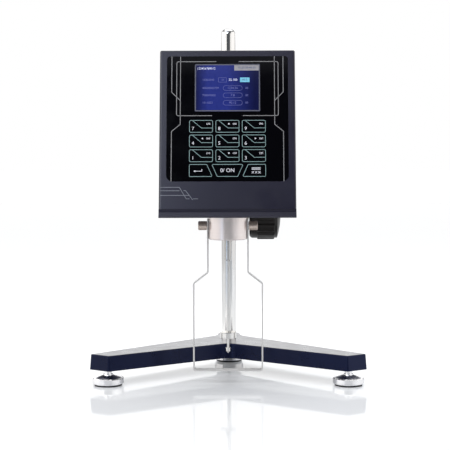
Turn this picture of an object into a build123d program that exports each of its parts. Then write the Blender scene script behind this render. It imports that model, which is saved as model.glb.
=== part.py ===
from build123d import *
from math import atan, cos, hypot, pi, radians, sin, sqrt, tan
import os

# Bench-top rotational viscometer: a measuring head that climbs a toothed mast
# on a three-footed V base.  +Y runs to the rear, +Z up, millimetres.

# ------------------------------------------------------------------ fits
running_fit = 0.05        # radial play of a shaft or stem that turns or slides
seat_fit = 0.05           # radial play of a piece that is fixed in its bore
panel_gap = 0.15          # gap all round a key or lens in the membrane panel
cover_gap = 0.2           # gap round a cover, socket or inlet in its cut-out

# ------------------------------------------------------------------ stance
# Reaches are measured from the spindle axis.
head_reach = 55.0         # to the head's front edge, forward
mast_reach = 115.0        # to the mast axis, rearward
tail_foot_reach = 147.2   # to the rear foot's axis, rearward
mast_top = 412.0          # top of the dome above the floor

# ------------------------------------------------------------------ levelling feet
foot_disc_dia = 35.6
foot_disc_height = 7.0
foot_cone_height = 4.0
foot_hub_dia = 11.0
foot_rim_land = 2.4       # flat rim round the cone
foot_edge = 0.8
foot_stem_dia = 8.0
foot_stem_height = 28.0   # top of the stem above the floor
foot_ring_dia = 31.5
foot_ring_height = 2.0
foot_raise = 2.5          # how far a foot screws up from its rest height

# ------------------------------------------------------------------ base casting
base_bottom = 16.6        # underside above the floor
base_height = 17.5
base_draft = 5.0          # side draft, degrees
leg_angle = 33.4          # inner side of each leg, from the X axis, degrees
leg_tip_x = 134.5         # inner corner of a leg's end
leg_end_length = 29.6     # length of the end face
leg_end_angle = 31.6      # end face, from the X axis, degrees
fork_reach = 71.7         # inner apex of the V, rearward
fork_radius = 14.0
tail_width = 31.0
tail_straight = 11.7      # straight sides ahead of the rear foot's axis
tail_blend_radius = 18.0
leg_corner_radius = 3.0
base_edge_radius = 1.2
front_foot_x = 136.3
front_foot_reach = 8.0    # forward

# ------------------------------------------------------------------ mast and rack
mast_dia = 17.4
mast_end_radius = 5.8     # rounding of the top end
mast_seat_depth = 5.0     # socket in the top of the base
mast_thread_dia = 12.0
mast_nut_across = 19.0
mast_nut_height = 6.0
mast_washer_dia = 24.0
mast_washer_height = 1.6
nut_pocket_dia = 27.0
nut_pocket_depth = 8.0
tooth_module = 1.0
pinion_teeth = 18
pressure_angle = 20.0
rack_flat = 7.0           # tooth tips, from the mast axis
rack_addendum = 0.8
rack_dedendum = 1.2
rack_backlash = 0.16      # taken off each flank's thickness, pinion side
lift_up = 150.0
lift_down = 12.0

# ------------------------------------------------------------------ clamp block and knob
block_width = 44.0
block_front_reach = 97.0
block_rear_reach = 147.0
block_corner_radius = 7.0
bush_wall = 2.0
bush_length = 16.0
lower_bush_length = 15.0
cavity_wall = 2.0         # metal left between the lower bush and the pinion's cavity
pinion_drop = 7.5         # pinion's axis below the head's underside
pinion_width = 8.0
pinion_shaft_dia = 8.0
pinion_bush_flange = 2.0
pinion_play = 0.5         # between the tooth tips and the cavity
tension_dia = 6.0
tension_head_dia = 10.0
tension_head = 6.0
tension_socket = 5.0      # across the flats
knob_start_x = 25.6
knob_flange_dia = 56.8
knob_flange_width = 9.6
knob_grip_dia = 60.0
knob_grip_width = 21.0
knob_cap_dia = 56.4
knob_cap_width = 7.9
knob_cap_crown = 4.4      # rise of its domed end
knob_flutes = 12
knob_flute_radius = 5.0
knob_flute_depth = 1.6
flange_thickness = 6.0
flange_width = 62.0
flange_rise = 4.0         # above the tray's rim
flange_height = 42.0
flange_step = 2.0         # block's top above the flange's
neck_setback = 4.0        # neck inside the flange, above and below
neck_width = 34.0

# ------------------------------------------------------------------ head
head_width = 150.0
head_bottom = 192.5
head_height = 184.0
head_depth = 133.0        # along the bottom
face_lean = 13.7          # the front face leans back, degrees
head_wall = 3.0
head_edge_radius = 2.5
tray_height = 9.5
tray_lip_height = 6.0
tray_lip_setback = 2.4
tray_chamfer = 1.6
tray_shadow = 0.8         # how far the tray is set back under the housing
rear_cover_thickness = 3.0

# ------------------------------------------------------------------ front panel
# u is across, v is up the leaning face from its foot, w is out of the face.
panel_width = 134.2
panel_low = 40.5
panel_high = 182.6
panel_top_radius = 3.4
panel_bottom_radius = 7.2
panel_thickness = 1.2
key_width = 26.4
key_height = 14.4
key_pitch_u = 29.0
key_pitch_v = 16.55
key_top_row = 102.4       # centre of the top row
key_radius = 1.4
key_thickness = 0.85
key_proud = 0.25
key_travel = 0.35
soft_key_reach = 21.2     # upper inner corner of a bottom side key
soft_key_slant = 6.0
start_key_reach = 18.1
lens_width = 72.4
lens_height = 54.3
lens_centre = 146.5
lens_radius = 1.0
window_margin = 4.0       # ledge that carries the lens
display_thickness = 8.0
display_margin = 5.0
board_thickness = 1.6
board_margin = 9.0

# ------------------------------------------------------------------ collar and guard
collar_dia = 43.8
collar_height = 27.2
collar_bore = 36.0
collar_floor = 4.4
collar_mouth = 12.0
collar_edge = 0.8
guard_thickness = 1.6
guard_depth = 10.0
guard_neck = 65.0         # straight part, down from the head's underside
guard_shoulder = 12.5     # height of the slanted part
guard_length = 177.5      # down from the head's underside
guard_half_width = 39.0
guard_bend_radius = 3.0
screw_drop = 11.9         # thumbscrew axis below the head's underside
thumbscrew_dia = 9.9
thumbscrew_length = 10.0
thumbscrew_shank = 4.0
thumbscrew_edge = 0.5
guard_hole_play = 0.3

# ------------------------------------------------------------------ drive train
coupling_dia = 8.2
coupling_length = 24.3    # below the collar
coupling_socket = 12.0
coupling_groove_rise = 9.0
coupling_groove = 0.5     # depth and half width
spindle_shaft_dia = 3.2
disc_dia = 18.7
disc_height = 6.9
disc_rise = 17.5          # above the spindle's tip
spindle_reach = 106.0     # tip below the coupling
tip_dia = 6.0
groove_rise = 45.0        # immersion mark above the tip
groove_depth = 0.3
groove_half_width = 0.6
pivot_shaft_dia = 4.0
bearing_dia = 14.0
bearing_height = 4.0
bridge_height = 6.0       # of the plate across the collar that holds the bearing
bridge_sill = 1.0         # of that plate, above and below the bearing
dial_dia = 28.0
dial_thickness = 1.2
dial_clearance = 9.5      # above the tray's floor
dial_notch = 2.0
spring_clearance = 4.8    # above the dial
disc_clearance = 11.0     # drive disc above the spring
pivot_gap = 3.0           # pivot's end under the drive disc
spring_turns = 4
spring_steps = 16         # straight pieces in a turn
spring_inner = 5.0
spring_outer = 13.0
spring_strip = 0.5
spring_post_dia = 2.0
spring_width = 2.0
drive_disc_dia = 32.0
drive_disc_thickness = 3.0
drive_shaft_dia = 6.0
motor_plate_clearance = 9.0   # above the drive disc
motor_plate_thickness = 3.0
motor_plate_size = 52.0
motor_dia = 37.0
motor_height = 34.0
pillar_dia = 6.0
pillar_spread = 40.0      # centre to centre

# ------------------------------------------------------------------ rear and top fittings
inlet_width = 27.0
inlet_height = 20.0
inlet_inset = 27.0        # inlet's and switch's middle, in from the head's left side
inlet_depth = 14.0        # from the cover's outside to the floor of the recess
inlet_pin_recess = 3.5    # pin tips behind the cover's outside
fitting_rise = 24.0       # lower row above the tray's rim
fitting_row = 38.0        # between the rows
switch_width = 15.0
switch_tall = 21.0
switch_wall = 1.5
rocker_throw = 16.0       # degrees
rocker_depth = 1.5        # pivot behind the cover's outside
rocker_pin_dia = 2.4
rocker_pin_length = 1.0   # beyond each side of the rocker
probe_socket_size = 16.0  # square body
probe_bore_dia = 13.6
probe_flange = 2.0
fitting_flange = 1.5      # thickness of every flange on the cover
socket_inset = 25.0       # sockets' middle, in from the head's right side
data_port_width = 31.0
data_port_tall = 12.5
data_shell_width = 17.0
data_shell_tall = 8.4
data_shell_proud = 5.0
vent_slots = 7
vent_pitch = 7.0
vent_length = 70.0
vent_width = 3.0
vent_rise = 104.0         # lowest slot above the tray's rim
screw_dia = 3.0
screw_head_dia = 5.6
screw_head_height = 2.0
screw_length = 8.0
cover_screw_inset = 9.0
level_dia = 18.0
level_flange_dia = 22.0
level_flange = 1.2
level_depth = 9.0
level_reach = 20.0        # rearward, on the head's top
level_wall = 1.5
supply_reach = 34.0       # supply board's face forward of the rear cover
supply_height = 70.0
supply_margin = 25.0      # board's end to the head's side
supply_sill = 15.0        # components above the board's foot
transformer_size = 30.0   # width and height
transformer_depth = 14.4
transformer_inset = 8.0
capacitor_width = 22.0
capacitor_height = 25.0
capacitor_depth = 12.4
capacitor_inset = 12.0

# ------------------------------------------------------------------ worked out from the above
tail_reach = tail_foot_reach + foot_disc_dia / 2
spindle_y = (head_reach - tail_reach) / 2
mast_y = spindle_y + mast_reach
tail_y = spindle_y + tail_foot_reach
front_foot_y = spindle_y - front_foot_reach
base_top = base_bottom + base_height
mast_radius = mast_dia / 2
pinion_radius = tooth_module * pinion_teeth / 2
pinion_height = head_bottom - pinion_drop
cavity_radius = pinion_radius + tooth_module + pinion_play
pinion_y = mast_y + rack_flat - rack_addendum + pinion_radius
head_front = spindle_y - head_reach
head_rear = head_front + head_depth
head_top = head_bottom + head_height
tray_top = head_bottom + tray_height
cover_front = head_rear - rear_cover_thickness
cover_mid = (tray_top + head_top) / 2
lean = radians(face_lean)
inlet_x = inlet_inset - head_width / 2
probe_socket_x = head_width / 2 - socket_inset
collar_bottom = head_bottom - collar_height
collar_radius = collar_dia / 2
screw_height = head_bottom - screw_drop
guard_waist_height = head_bottom - guard_neck
guard_belly_height = guard_waist_height - guard_shoulder
guard_bottom = head_bottom - guard_length
coupling_bottom = collar_bottom - coupling_length
spindle_tip = coupling_bottom - spindle_reach
disc_bottom = spindle_tip + disc_rise
immersion_groove = spindle_tip + groove_rise
flange_bottom = tray_top + flange_rise
flange_top = flange_bottom + flange_height
block_top = flange_top + flange_step
block_bottom = pinion_height - cavity_radius - cavity_wall - lower_bush_length
tension_height = (pinion_height + cavity_radius + block_top - bush_length) / 2
dial_height = head_bottom + head_wall + dial_clearance
spring_low = dial_height + dial_thickness + spring_clearance
spring_top = spring_low + spring_width
drive_disc_bottom = spring_top + disc_clearance
pivot_shaft_top = drive_disc_bottom - pivot_gap
motor_plate_bottom = drive_disc_bottom + drive_disc_thickness + motor_plate_clearance
fitting_height = tray_top + fitting_rise
fitting_upper = fitting_height + fitting_row
vent_lowest = tray_top + vent_rise
bearing_low = head_bottom - bridge_height + bridge_sill
block_front = spindle_y + block_front_reach
block_rear = spindle_y + block_rear_reach
knob_grip_x = knob_start_x + knob_flange_width
knob_cap_x = knob_grip_x + knob_grip_width
knob_end_x = knob_cap_x + knob_cap_width
front_foot_places = [(-front_foot_x, front_foot_y), (front_foot_x, front_foot_y)]
foot_places = {"left": front_foot_places[0], "right": front_foot_places[1], "rear": (0, tail_y)}
panel_plane = Plane(
    origin=(0, head_front, head_bottom), x_dir=(1, 0, 0), z_dir=(0, -cos(lean), sin(lean))
)


# ------------------------------------------------------------------ helpers
def block(x0, x1, y0, y1, z0, z1):
    """Box between two corners."""
    return Pos((x0 + x1) / 2, (y0 + y1) / 2, (z0 + z1) / 2) * Box(x1 - x0, y1 - y0, z1 - z0)


def rod_z(dia, z0, z1, x=0.0, y=0.0):
    return Pos(x, y, (z0 + z1) / 2) * Cylinder(dia / 2, z1 - z0)


def rod_x(dia, x0, x1, y, z):
    return Pos((x0 + x1) / 2, y, z) * Rot(0, 90, 0) * Cylinder(dia / 2, x1 - x0)


def rod_y(dia, y0, y1, x, z):
    return Pos(x, (y0 + y1) / 2, z) * Rot(90, 0, 0) * Cylinder(dia / 2, y1 - y0)


def turned(points):
    """Solid of revolution about the Z axis from (radius, height) points."""
    profile = make_face(Plane.XZ * Polyline(*points, close=True))
    return revolve(profile, Axis.Z)


def side_prism(points, half_width):
    """Prism with its outline in the YZ plane, centred on X = 0."""
    outline = make_face(Plane.YZ * Polyline(*points, close=True))
    return extrude(outline, amount=half_width, both=True)


def on_panel(sketch, w0, w1):
    """Plate lying on the leaning face, from depth w0 out to w1."""
    return extrude(panel_plane * Pos(0, 0, w0) * sketch, amount=w1 - w0)


def face_y(z):
    """Y of the leaning front face at height z."""
    return head_front + (z - head_bottom) * tan(lean)


def rounded_rectangle(width, height, radius, u=0.0, v=0.0):
    return Pos(u, v) * RectangleRounded(width, height, radius)


def pan_screw(length):
    """Pan-head screw along +Z with its head above z = 0."""
    shank = screw_dia / 2 - seat_fit
    head = screw_head_dia / 2
    shoulder = screw_head_height / 2
    return turned(
        [
            (0, -length), (shank, -length), (shank, 0), (head, 0),
            (head, shoulder), (head - shoulder, screw_head_height), (0, screw_head_height),
        ]
    )


# ------------------------------------------------------------------ stand
def base_casting():
    tip_y = spindle_y + fork_reach - leg_tip_x * tan(radians(leg_angle))
    apex = (0, spindle_y + fork_reach)
    inner = (leg_tip_x, tip_y)
    outer = (
        leg_tip_x + leg_end_length * cos(radians(leg_end_angle)),
        tip_y + leg_end_length * sin(radians(leg_end_angle)),
    )
    half_tail = tail_width / 2
    joint_y = tail_y - tail_straight
    right = [inner, outer, (half_tail, joint_y), (half_tail, tail_y)]
    left = [(-x, y) for x, y in reversed(right)]
    outline = make_face(Polyline(apex, *right, *left, close=True))

    def near(x, y):
        return outline.vertices().sort_by_distance((x, y, 0))[0]

    outline = fillet(near(*apex), fork_radius)
    for side in (-1, 1):
        outline = fillet(near(side * half_tail, joint_y), tail_blend_radius)
        for corner in (inner, outer):
            outline = fillet(near(side * corner[0], corner[1]), leg_corner_radius)
    outline = outline + Pos(0, tail_y) * Circle(half_tail)
    casting = extrude(Pos(0, 0, base_bottom) * outline, amount=base_height, taper=base_draft)
    casting = fillet(casting.edges().group_by(Axis.Z)[-1], base_edge_radius)
    socket_floor = base_top - mast_seat_depth
    casting -= rod_z(mast_dia + 2 * seat_fit, socket_floor, base_top + 1, 0, mast_y)
    casting -= rod_z(mast_thread_dia + 2 * seat_fit, base_bottom - 1, base_top, 0, mast_y)
    casting -= rod_z(nut_pocket_dia, base_bottom - 1, base_bottom + nut_pocket_depth, 0, mast_y)
    stem_top = foot_stem_height + foot_raise + 0.5
    for x, y in foot_places.values():
        casting -= rod_z(foot_stem_dia + 2 * running_fit, base_bottom - 1, stem_top, x, y)
    return casting


def rack_profile():
    """Side view of the material milled off the mast's rear to leave the teeth."""
    pitch = pi * tooth_module
    reach = pinion_radius + 2 * tooth_module
    low = int((lift_down + reach) / pitch) + 1
    high = int((lift_up + reach) / pitch) + 1
    slant = tan(radians(pressure_angle))
    tip_half = pitch / 4 + rack_addendum * slant      # half a space, at the tooth tips
    root_half = pitch / 4 - rack_dedendum * slant     # half a space, at its floor
    tip_y = mast_y + rack_flat
    floor_y = tip_y - rack_addendum - rack_dedendum
    outer_y = mast_y + mast_dia
    points = [(outer_y, pinion_height - low * pitch), (tip_y, pinion_height - low * pitch)]
    for space in range(-low + 1, high):
        centre = pinion_height + space * pitch
        points += [(tip_y, centre - tip_half), (floor_y, centre - root_half)]
        points += [(floor_y, centre + root_half), (tip_y, centre + tip_half)]
    points += [(tip_y, pinion_height + high * pitch), (outer_y, pinion_height + high * pitch)]
    return points


def mast():
    seat = base_top - mast_seat_depth
    body = rod_z(mast_dia, seat, mast_top, 0, mast_y)
    body = fillet(body.edges().group_by(Axis.Z)[-1], mast_end_radius)
    body += rod_z(mast_thread_dia, base_bottom + 0.5, seat, 0, mast_y)
    return body - side_prism(rack_profile(), mast_dia)


def mast_nut():
    seat = base_bottom + nut_pocket_depth
    washer_low = seat - mast_washer_height
    washer = rod_z(mast_washer_dia, washer_low, seat, 0, mast_y)
    hexagon = RegularPolygon(mast_nut_across / sqrt(3), 6)
    nut = extrude(Pos(0, mast_y, washer_low - mast_nut_height + 0.5) * hexagon, amount=mast_nut_height - 0.5)
    return washer + nut - rod_z(mast_thread_dia + 2 * seat_fit, base_bottom - 1, seat + 1, 0, mast_y)


def foot_ring(x, y):
    ring = rod_z(foot_ring_dia, 0, foot_ring_height, x, y)
    return chamfer(ring.edges().group_by(Axis.Z)[0], foot_edge / 2)


def foot_screw(x, y):
    radius = foot_disc_dia / 2
    low = foot_ring_height
    rim = low + foot_disc_height
    hub = rim + foot_cone_height
    hub_radius = foot_hub_dia / 2
    stem_radius = foot_stem_dia / 2
    body = turned(
        [
            (0, low), (radius - foot_edge, low), (radius, low + foot_edge), (radius, rim - foot_edge),
            (radius - foot_edge, rim), (radius - foot_rim_land, rim),
            (hub_radius, hub - foot_cone_height / 4), (hub_radius, hub),
            (stem_radius, hub), (stem_radius, foot_stem_height), (0, foot_stem_height),
        ]
    )
    return Pos(x, y, 0) * body


# ------------------------------------------------------------------ lift
def clamp_block():
    half = block_width / 2
    body = block(-half, half, block_front, block_rear, block_bottom, block_top)
    body = fillet(body.edges().filter_by(Axis.Z), block_corner_radius)
    body = chamfer(body.edges().group_by(Axis.Z)[-1], 1.5)
    body += block(
        -neck_width / 2, neck_width / 2, head_rear, block_front + block_corner_radius,
        flange_bottom + neck_setback, flange_top - neck_setback,
    )
    flange = block(
        -flange_width / 2, flange_width / 2, head_rear, head_rear + flange_thickness,
        flange_bottom, flange_top,
    )
    body += fillet(flange.edges().filter_by(Axis.Y), 5)
    bush_dia = mast_dia + 2 * running_fit + 2 * bush_wall
    body -= rod_z(bush_dia + 2 * seat_fit, block_bottom - 1, block_top + 1, 0, mast_y)
    body -= rod_x(2 * cavity_radius, -pinion_width / 2 - 1, half + 1, pinion_y, pinion_height)
    body -= rod_x(pinion_shaft_dia + 2 * running_fit, -half + 5, 0, pinion_y, pinion_height)
    body -= rod_x(tension_dia + 2 * seat_fit, -half - 1, 0, mast_y, tension_height)
    body -= rod_x(tension_head_dia + 1, -half - 1, -half + tension_head, mast_y, tension_height)
    for x, z in flange_screw_places():
        body -= rod_y(screw_dia + 0.4, head_rear - 1, head_rear + flange_thickness + 1, x, z)
    return body


def flange_screw_places():
    x = flange_width / 2 - 6
    inset = 7
    return [(side * x, z) for side in (-1, 1) for z in (flange_bottom + inset, flange_top - inset)]


def guide_bushes():
    inner = mast_dia + 2 * running_fit
    outer = inner + 2 * bush_wall
    spans = [(block_bottom, block_bottom + lower_bush_length), (block_top - bush_length, block_top)]
    bushes = [
        rod_z(outer, z0, z1, 0, mast_y) - rod_z(inner, z0 - 1, z1 + 1, 0, mast_y) for z0, z1 in spans
    ]
    return Compound(children=bushes)


def tension_screw():
    """Socket screw whose nose drags on the mast and holds the head's height."""
    half = block_width / 2
    head = rod_x(tension_head_dia, -half, -half + tension_head, mast_y, tension_height)
    socket_plane = Plane(origin=(-half - 1, mast_y, tension_height), z_dir=(1, 0, 0))
    head -= extrude(socket_plane * RegularPolygon(tension_socket / sqrt(3), 6), amount=tension_head - 2)
    shank = rod_x(tension_dia, -half + tension_head, 0, mast_y, tension_height)
    return head + shank - rod_z(mast_dia + 2 * running_fit, block_bottom, block_top, 0, mast_y)


def pinion_outline():
    """Involute pinion, thinned by the backlash, one tooth pointing along -Y of the mesh."""
    base_radius = pinion_radius * cos(radians(pressure_angle))
    tip_radius = pinion_radius + tooth_module * 0.9
    root_radius = pinion_radius - tooth_module * 1.15
    half_tooth = pi / (2 * pinion_teeth) - rack_backlash / pinion_radius
    half_at_base = half_tooth + tan(radians(pressure_angle)) - radians(pressure_angle)
    steps = 3
    flank = []
    for step in range(steps + 1):
        radius = base_radius + (tip_radius - base_radius) * step / steps
        roll = sqrt((radius / base_radius) ** 2 - 1)
        flank.append((radius, half_at_base - (roll - atan(roll))))
    points = []
    for tooth in range(pinion_teeth):
        centre = 2 * pi * tooth / pinion_teeth
        ring = [(root_radius, -flank[0][1])] + [(r, -a) for r, a in flank]
        ring += [(r, a) for r, a in reversed(flank)] + [(root_radius, flank[0][1])]
        points += [(r * cos(centre + a), r * sin(centre + a)) for r, a in ring]
    return make_face(Polyline(*points, close=True))


def pinion():
    """Pinion cut on its shaft, which runs out to the right to carry the knob."""
    gear_start = (-pinion_width / 2, pinion_y, pinion_height)
    gear_plane = Plane(origin=gear_start, x_dir=(0, -1, 0), z_dir=(1, 0, 0))
    gear = extrude(gear_plane * pinion_outline(), amount=pinion_width)
    left_end = -block_width / 2 + 5.5
    return gear + rod_x(pinion_shaft_dia, left_end, knob_cap_x, pinion_y, pinion_height)


def pinion_bush():
    half = block_width / 2
    cavity = 2 * cavity_radius
    sleeve = rod_x(cavity - 2 * seat_fit, mast_radius + 0.4, half, pinion_y, pinion_height)
    flange = rod_x(cavity + 4, half, half + pinion_bush_flange, pinion_y, pinion_height)
    bore = rod_x(pinion_shaft_dia + 2 * running_fit, 0, half + 5, pinion_y, pinion_height)
    return sleeve + flange - bore


def lift_knob():
    """Black moulded knob: rounded flange, fluted grip, then the seat for its cap."""
    flange = rod_x(knob_flange_dia, knob_start_x, knob_grip_x, pinion_y, pinion_height)
    flange = fillet(flange.edges().group_by(Axis.X)[0], knob_flange_width * 0.45)
    grip = rod_x(knob_grip_dia, knob_grip_x, knob_cap_x, pinion_y, pinion_height)
    grip = chamfer(grip.edges().group_by(Axis.X)[0] + grip.edges().group_by(Axis.X)[-1], 0.8)
    flute_centre = knob_grip_dia / 2 + knob_flute_radius - knob_flute_depth
    for flute in range(knob_flutes):
        angle = 2 * pi * (flute + 0.5) / knob_flutes
        grip -= rod_x(
            2 * knob_flute_radius, knob_grip_x - 1, knob_cap_x + 1,
            pinion_y + flute_centre * cos(angle), pinion_height + flute_centre * sin(angle),
        )
    hole_dia = pinion_shaft_dia + 2 * seat_fit
    return flange + grip - rod_x(hole_dia, knob_start_x - 1, knob_cap_x + 1, pinion_y, pinion_height)


def knob_cap():
    """Cap with a low domed end."""
    radius = knob_cap_dia / 2
    shoulder = knob_cap_width - knob_cap_crown
    depth = (radius ** 2 - knob_cap_crown ** 2) / (2 * knob_cap_crown)
    dome = Pos(0, 0, shoulder - depth) * Sphere(hypot(radius, depth))
    cap = Cylinder(radius, knob_cap_width, align=(Align.CENTER, Align.CENTER, Align.MIN)) & dome
    return Pos(knob_cap_x, pinion_y, pinion_height) * Rot(0, 90, 0) * cap


# ------------------------------------------------------------------ head
def head_side(inset, low, rear):
    """Side outline of the head, drawn in from its skin by an inset."""
    slope = inset / cos(lean)
    return [
        (face_y(low) + slope, low), (face_y(head_top - inset) + slope, head_top - inset),
        (rear, head_top - inset), (rear, low),
    ]


def head_housing():
    half = head_width / 2
    shell = side_prism(head_side(0, tray_top, cover_front), half)
    front_edges = shell.edges().filter_by(lambda e: e.center().Y < face_y(head_top) + 1)
    uprights = front_edges.filter_by(lambda e: abs(e.center().X) > half - 1)
    shell = fillet(uprights, head_edge_radius)
    top_edges = shell.edges().group_by(Axis.Z)[-1].filter_by(lambda e: e.center().Y < cover_front - 1)
    shell = fillet(top_edges, head_edge_radius * 0.8)
    hollow = side_prism(head_side(head_wall, tray_top - 5, cover_front + 5), half - head_wall)
    shell -= hollow
    for boss in board_posts():
        shell += boss
    shell -= on_panel(panel_outline(), -panel_thickness, head_wall)
    shell -= on_panel(display_window(), -2 * head_wall, head_wall)
    level_y = spindle_y + level_reach
    shell -= rod_z(level_dia + 2 * seat_fit, head_top - 2 * head_wall, head_top + 1, 0, level_y)
    return shell


def panel_outline():
    """Membrane panel: small top corners, larger bottom corners."""
    middle = (panel_low + panel_high) / 2
    outline = Pos(0, middle) * Rectangle(panel_width, panel_high - panel_low)
    outline = fillet(outline.vertices().group_by(Axis.Y)[-1], panel_top_radius)
    return fillet(outline.vertices().group_by(Axis.Y)[0], panel_bottom_radius)


def display_window():
    width = lens_width - 2 * window_margin
    height = lens_height - 2 * window_margin
    return rounded_rectangle(width, height, lens_radius, 0, lens_centre)


def lens_outline(gap):
    return rounded_rectangle(lens_width - 2 * gap, lens_height - 2 * gap, lens_radius, 0, lens_centre)


def key_outlines(grow):
    """Every key's name and outline on the panel, each grown by the given gap."""
    keys = {}
    digits = [("7", "8", "9"), ("4", "5", "6"), ("1", "2", "3")]
    for row, names in enumerate(digits):
        for column, name in enumerate(names):
            u = (column - 1) * key_pitch_u
            v = key_top_row - row * key_pitch_v
            keys["key_" + name] = rounded_rectangle(
                key_width + 2 * grow, key_height + 2 * grow, key_radius, u, v
            )
    v = key_top_row - 3 * key_pitch_v
    top, low = v + key_height / 2 + grow, v - key_height / 2 - grow
    outer = key_pitch_u + key_width / 2 + grow
    inner = soft_key_reach - grow
    for side, name in ((-1, "key_enter"), (1, "key_clear")):
        corners = [(outer, top), (inner, top), (inner - soft_key_slant, low), (outer, low)]
        shape = make_face(Polyline(*[(side * x, y) for x, y in corners], close=True))
        keys[name] = fillet(shape.vertices(), key_radius * 0.7)
    half_top, half_low = start_key_reach + grow, start_key_reach - soft_key_slant + grow
    corners = [(-half_top, top), (half_top, top), (half_low, low), (-half_low, low)]
    shape = make_face(Polyline(*corners, close=True))
    keys["key_zero"] = fillet(shape.vertices(), key_radius * 0.7)
    return keys


def membrane_panel():
    sheet = on_panel(offset(panel_outline(), -panel_gap), -panel_thickness, 0)
    for outline in key_outlines(panel_gap).values():
        sheet -= on_panel(outline, -2 * panel_thickness, panel_thickness)
    return sheet - on_panel(lens_outline(0), -2 * panel_thickness, panel_thickness)


def key_caps():
    return {
        name: on_panel(outline, key_proud - key_thickness, key_proud)
        for name, outline in key_outlines(0).items()
    }


def display_lens():
    return on_panel(lens_outline(panel_gap), -panel_thickness, 0)


def display_module():
    width = lens_width + 2 * display_margin
    height = lens_height + 2 * display_margin
    glass = rounded_rectangle(
        lens_width - 2 * window_margin - 1, lens_height - 2 * window_margin - 1, lens_radius, 0, lens_centre
    )
    board = Pos(0, lens_centre) * Rectangle(width, height)
    body = on_panel(board, -head_wall - display_thickness, -head_wall)
    return body + on_panel(glass, -head_wall, -panel_thickness - 0.3)


def main_board():
    width = head_width - 2 * head_wall - 2 * board_margin
    back = -head_wall - display_thickness
    low, high = panel_low, panel_high - board_margin
    sheet = Pos(0, (low + high) / 2) * Rectangle(width, high - low)
    board = on_panel(sheet, back - board_thickness, back)
    for side in (-1, 1):
        chip = Pos(side * width / 4, (low + high) / 2) * Rectangle(14, 14)
        board += on_panel(chip, back - board_thickness - 2, back - board_thickness)
    return board


def board_posts():
    """Bosses behind the housing's front wall that carry the main board."""
    reach_u = (head_width - 2 * head_wall - 2 * board_margin) / 2 - 5
    bosses = []
    for u in (-reach_u, reach_u):
        for v in (panel_low + 6, panel_high - board_margin - 6):
            bosses.append(on_panel(Pos(u, v) * Circle(3), -head_wall - display_thickness, -head_wall / 2))
    return bosses


def bottom_tray():
    half = head_width / 2
    front = head_front
    lip_top = head_bottom + tray_lip_height
    set_back = face_y(tray_top) + tray_shadow
    side = [
        (front + tray_chamfer, head_bottom), (front, head_bottom + tray_chamfer),
        (front + tray_lip_setback, lip_top), (set_back, lip_top + tray_shadow),
        (set_back, tray_top), (head_rear, tray_top), (head_rear, head_bottom),
    ]
    tray = side_prism(side, half)
    hollow_front = set_back + head_wall
    tray -= block(
        -half + head_wall, half - head_wall, hollow_front, head_rear - head_wall,
        head_bottom + head_wall, tray_top + 1,
    )
    tray -= rod_z(collar_mouth + 4, head_bottom - 1, tray_top, 0, spindle_y)
    for x, y in tray_screw_places():
        tray += rod_z(9, head_bottom + head_wall, tray_top, x, y)
        tray -= rod_z(screw_dia + 0.4, head_bottom - 1, tray_top + 1, x, y)
        tray -= rod_z(screw_head_dia + 0.6, head_bottom - 1, head_bottom + screw_head_height, x, y)
    for x, y in pillar_places():
        tray -= rod_z(screw_dia + 0.4, head_bottom - 1, head_bottom + head_wall + 1, x, y)
    return tray


def tray_screw_places():
    x = head_width / 2 - 12
    return [(s * x, y) for s in (-1, 1) for y in (head_front + 16, head_rear - 12)]


def pillar_places():
    reach = pillar_spread / 2
    return [(sx * reach, spindle_y + sy * reach) for sx in (-1, 1) for sy in (-1, 1)]


def rear_cover():
    half = head_width / 2
    cover = block(-half, half, cover_front, head_rear, tray_top, head_top)
    cover = fillet(cover.edges().filter_by(Axis.Y), head_edge_radius)
    rim_half = half - head_wall - cover_gap
    rim = block(
        -rim_half, rim_half, cover_front - 4, cover_front,
        tray_top + cover_gap, head_top - head_wall - cover_gap,
    )
    inner = rim_half - 2
    rim -= block(
        -inner, inner, cover_front - 5, cover_front + 1,
        tray_top + 2.5, head_top - head_wall - cover_gap - 2,
    )
    cover += rim
    for slot in range(vent_slots):
        z = vent_lowest + slot * vent_pitch
        slot_outline = Plane.XZ * Pos(0, z) * SlotOverall(vent_length, vent_width)
        cover -= extrude(Pos(0, head_rear + 1, 0) * slot_outline, amount=2 * rear_cover_thickness, both=True)
    cover -= block(
        inlet_x - inlet_width / 2, inlet_x + inlet_width / 2, cover_front - 1, head_rear + 1,
        fitting_height - inlet_height / 2, fitting_height + inlet_height / 2,
    )
    cover -= block(
        inlet_x - switch_width / 2, inlet_x + switch_width / 2, cover_front - 1, head_rear + 1,
        fitting_upper - switch_tall / 2, fitting_upper + switch_tall / 2,
    )
    half_socket = probe_socket_size / 2
    cover -= block(
        probe_socket_x - half_socket, probe_socket_x + half_socket, cover_front - 1, head_rear + 1,
        fitting_height - half_socket, fitting_height + half_socket,
    )
    cover -= block(
        probe_socket_x - data_port_width / 2, probe_socket_x + data_port_width / 2, cover_front - 1,
        head_rear + 1, fitting_upper - data_port_tall / 2, fitting_upper + data_port_tall / 2,
    )
    for x, z in cover_screw_places() + flange_screw_places():
        cover -= rod_y(screw_dia + 0.4, cover_front - 6, head_rear + 1, x, z)
    return cover


def cover_screw_places():
    x = head_width / 2 - cover_screw_inset
    heights = (tray_top + cover_screw_inset, head_top - cover_screw_inset)
    return [(side * x, z) for side in (-1, 1) for z in heights]


def screws_on_rear(places, y, length):
    screw = Rot(-90, 0, 0) * pan_screw(length)
    return Compound(children=[Pos(x, y, z) * screw for x, z in places])


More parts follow.
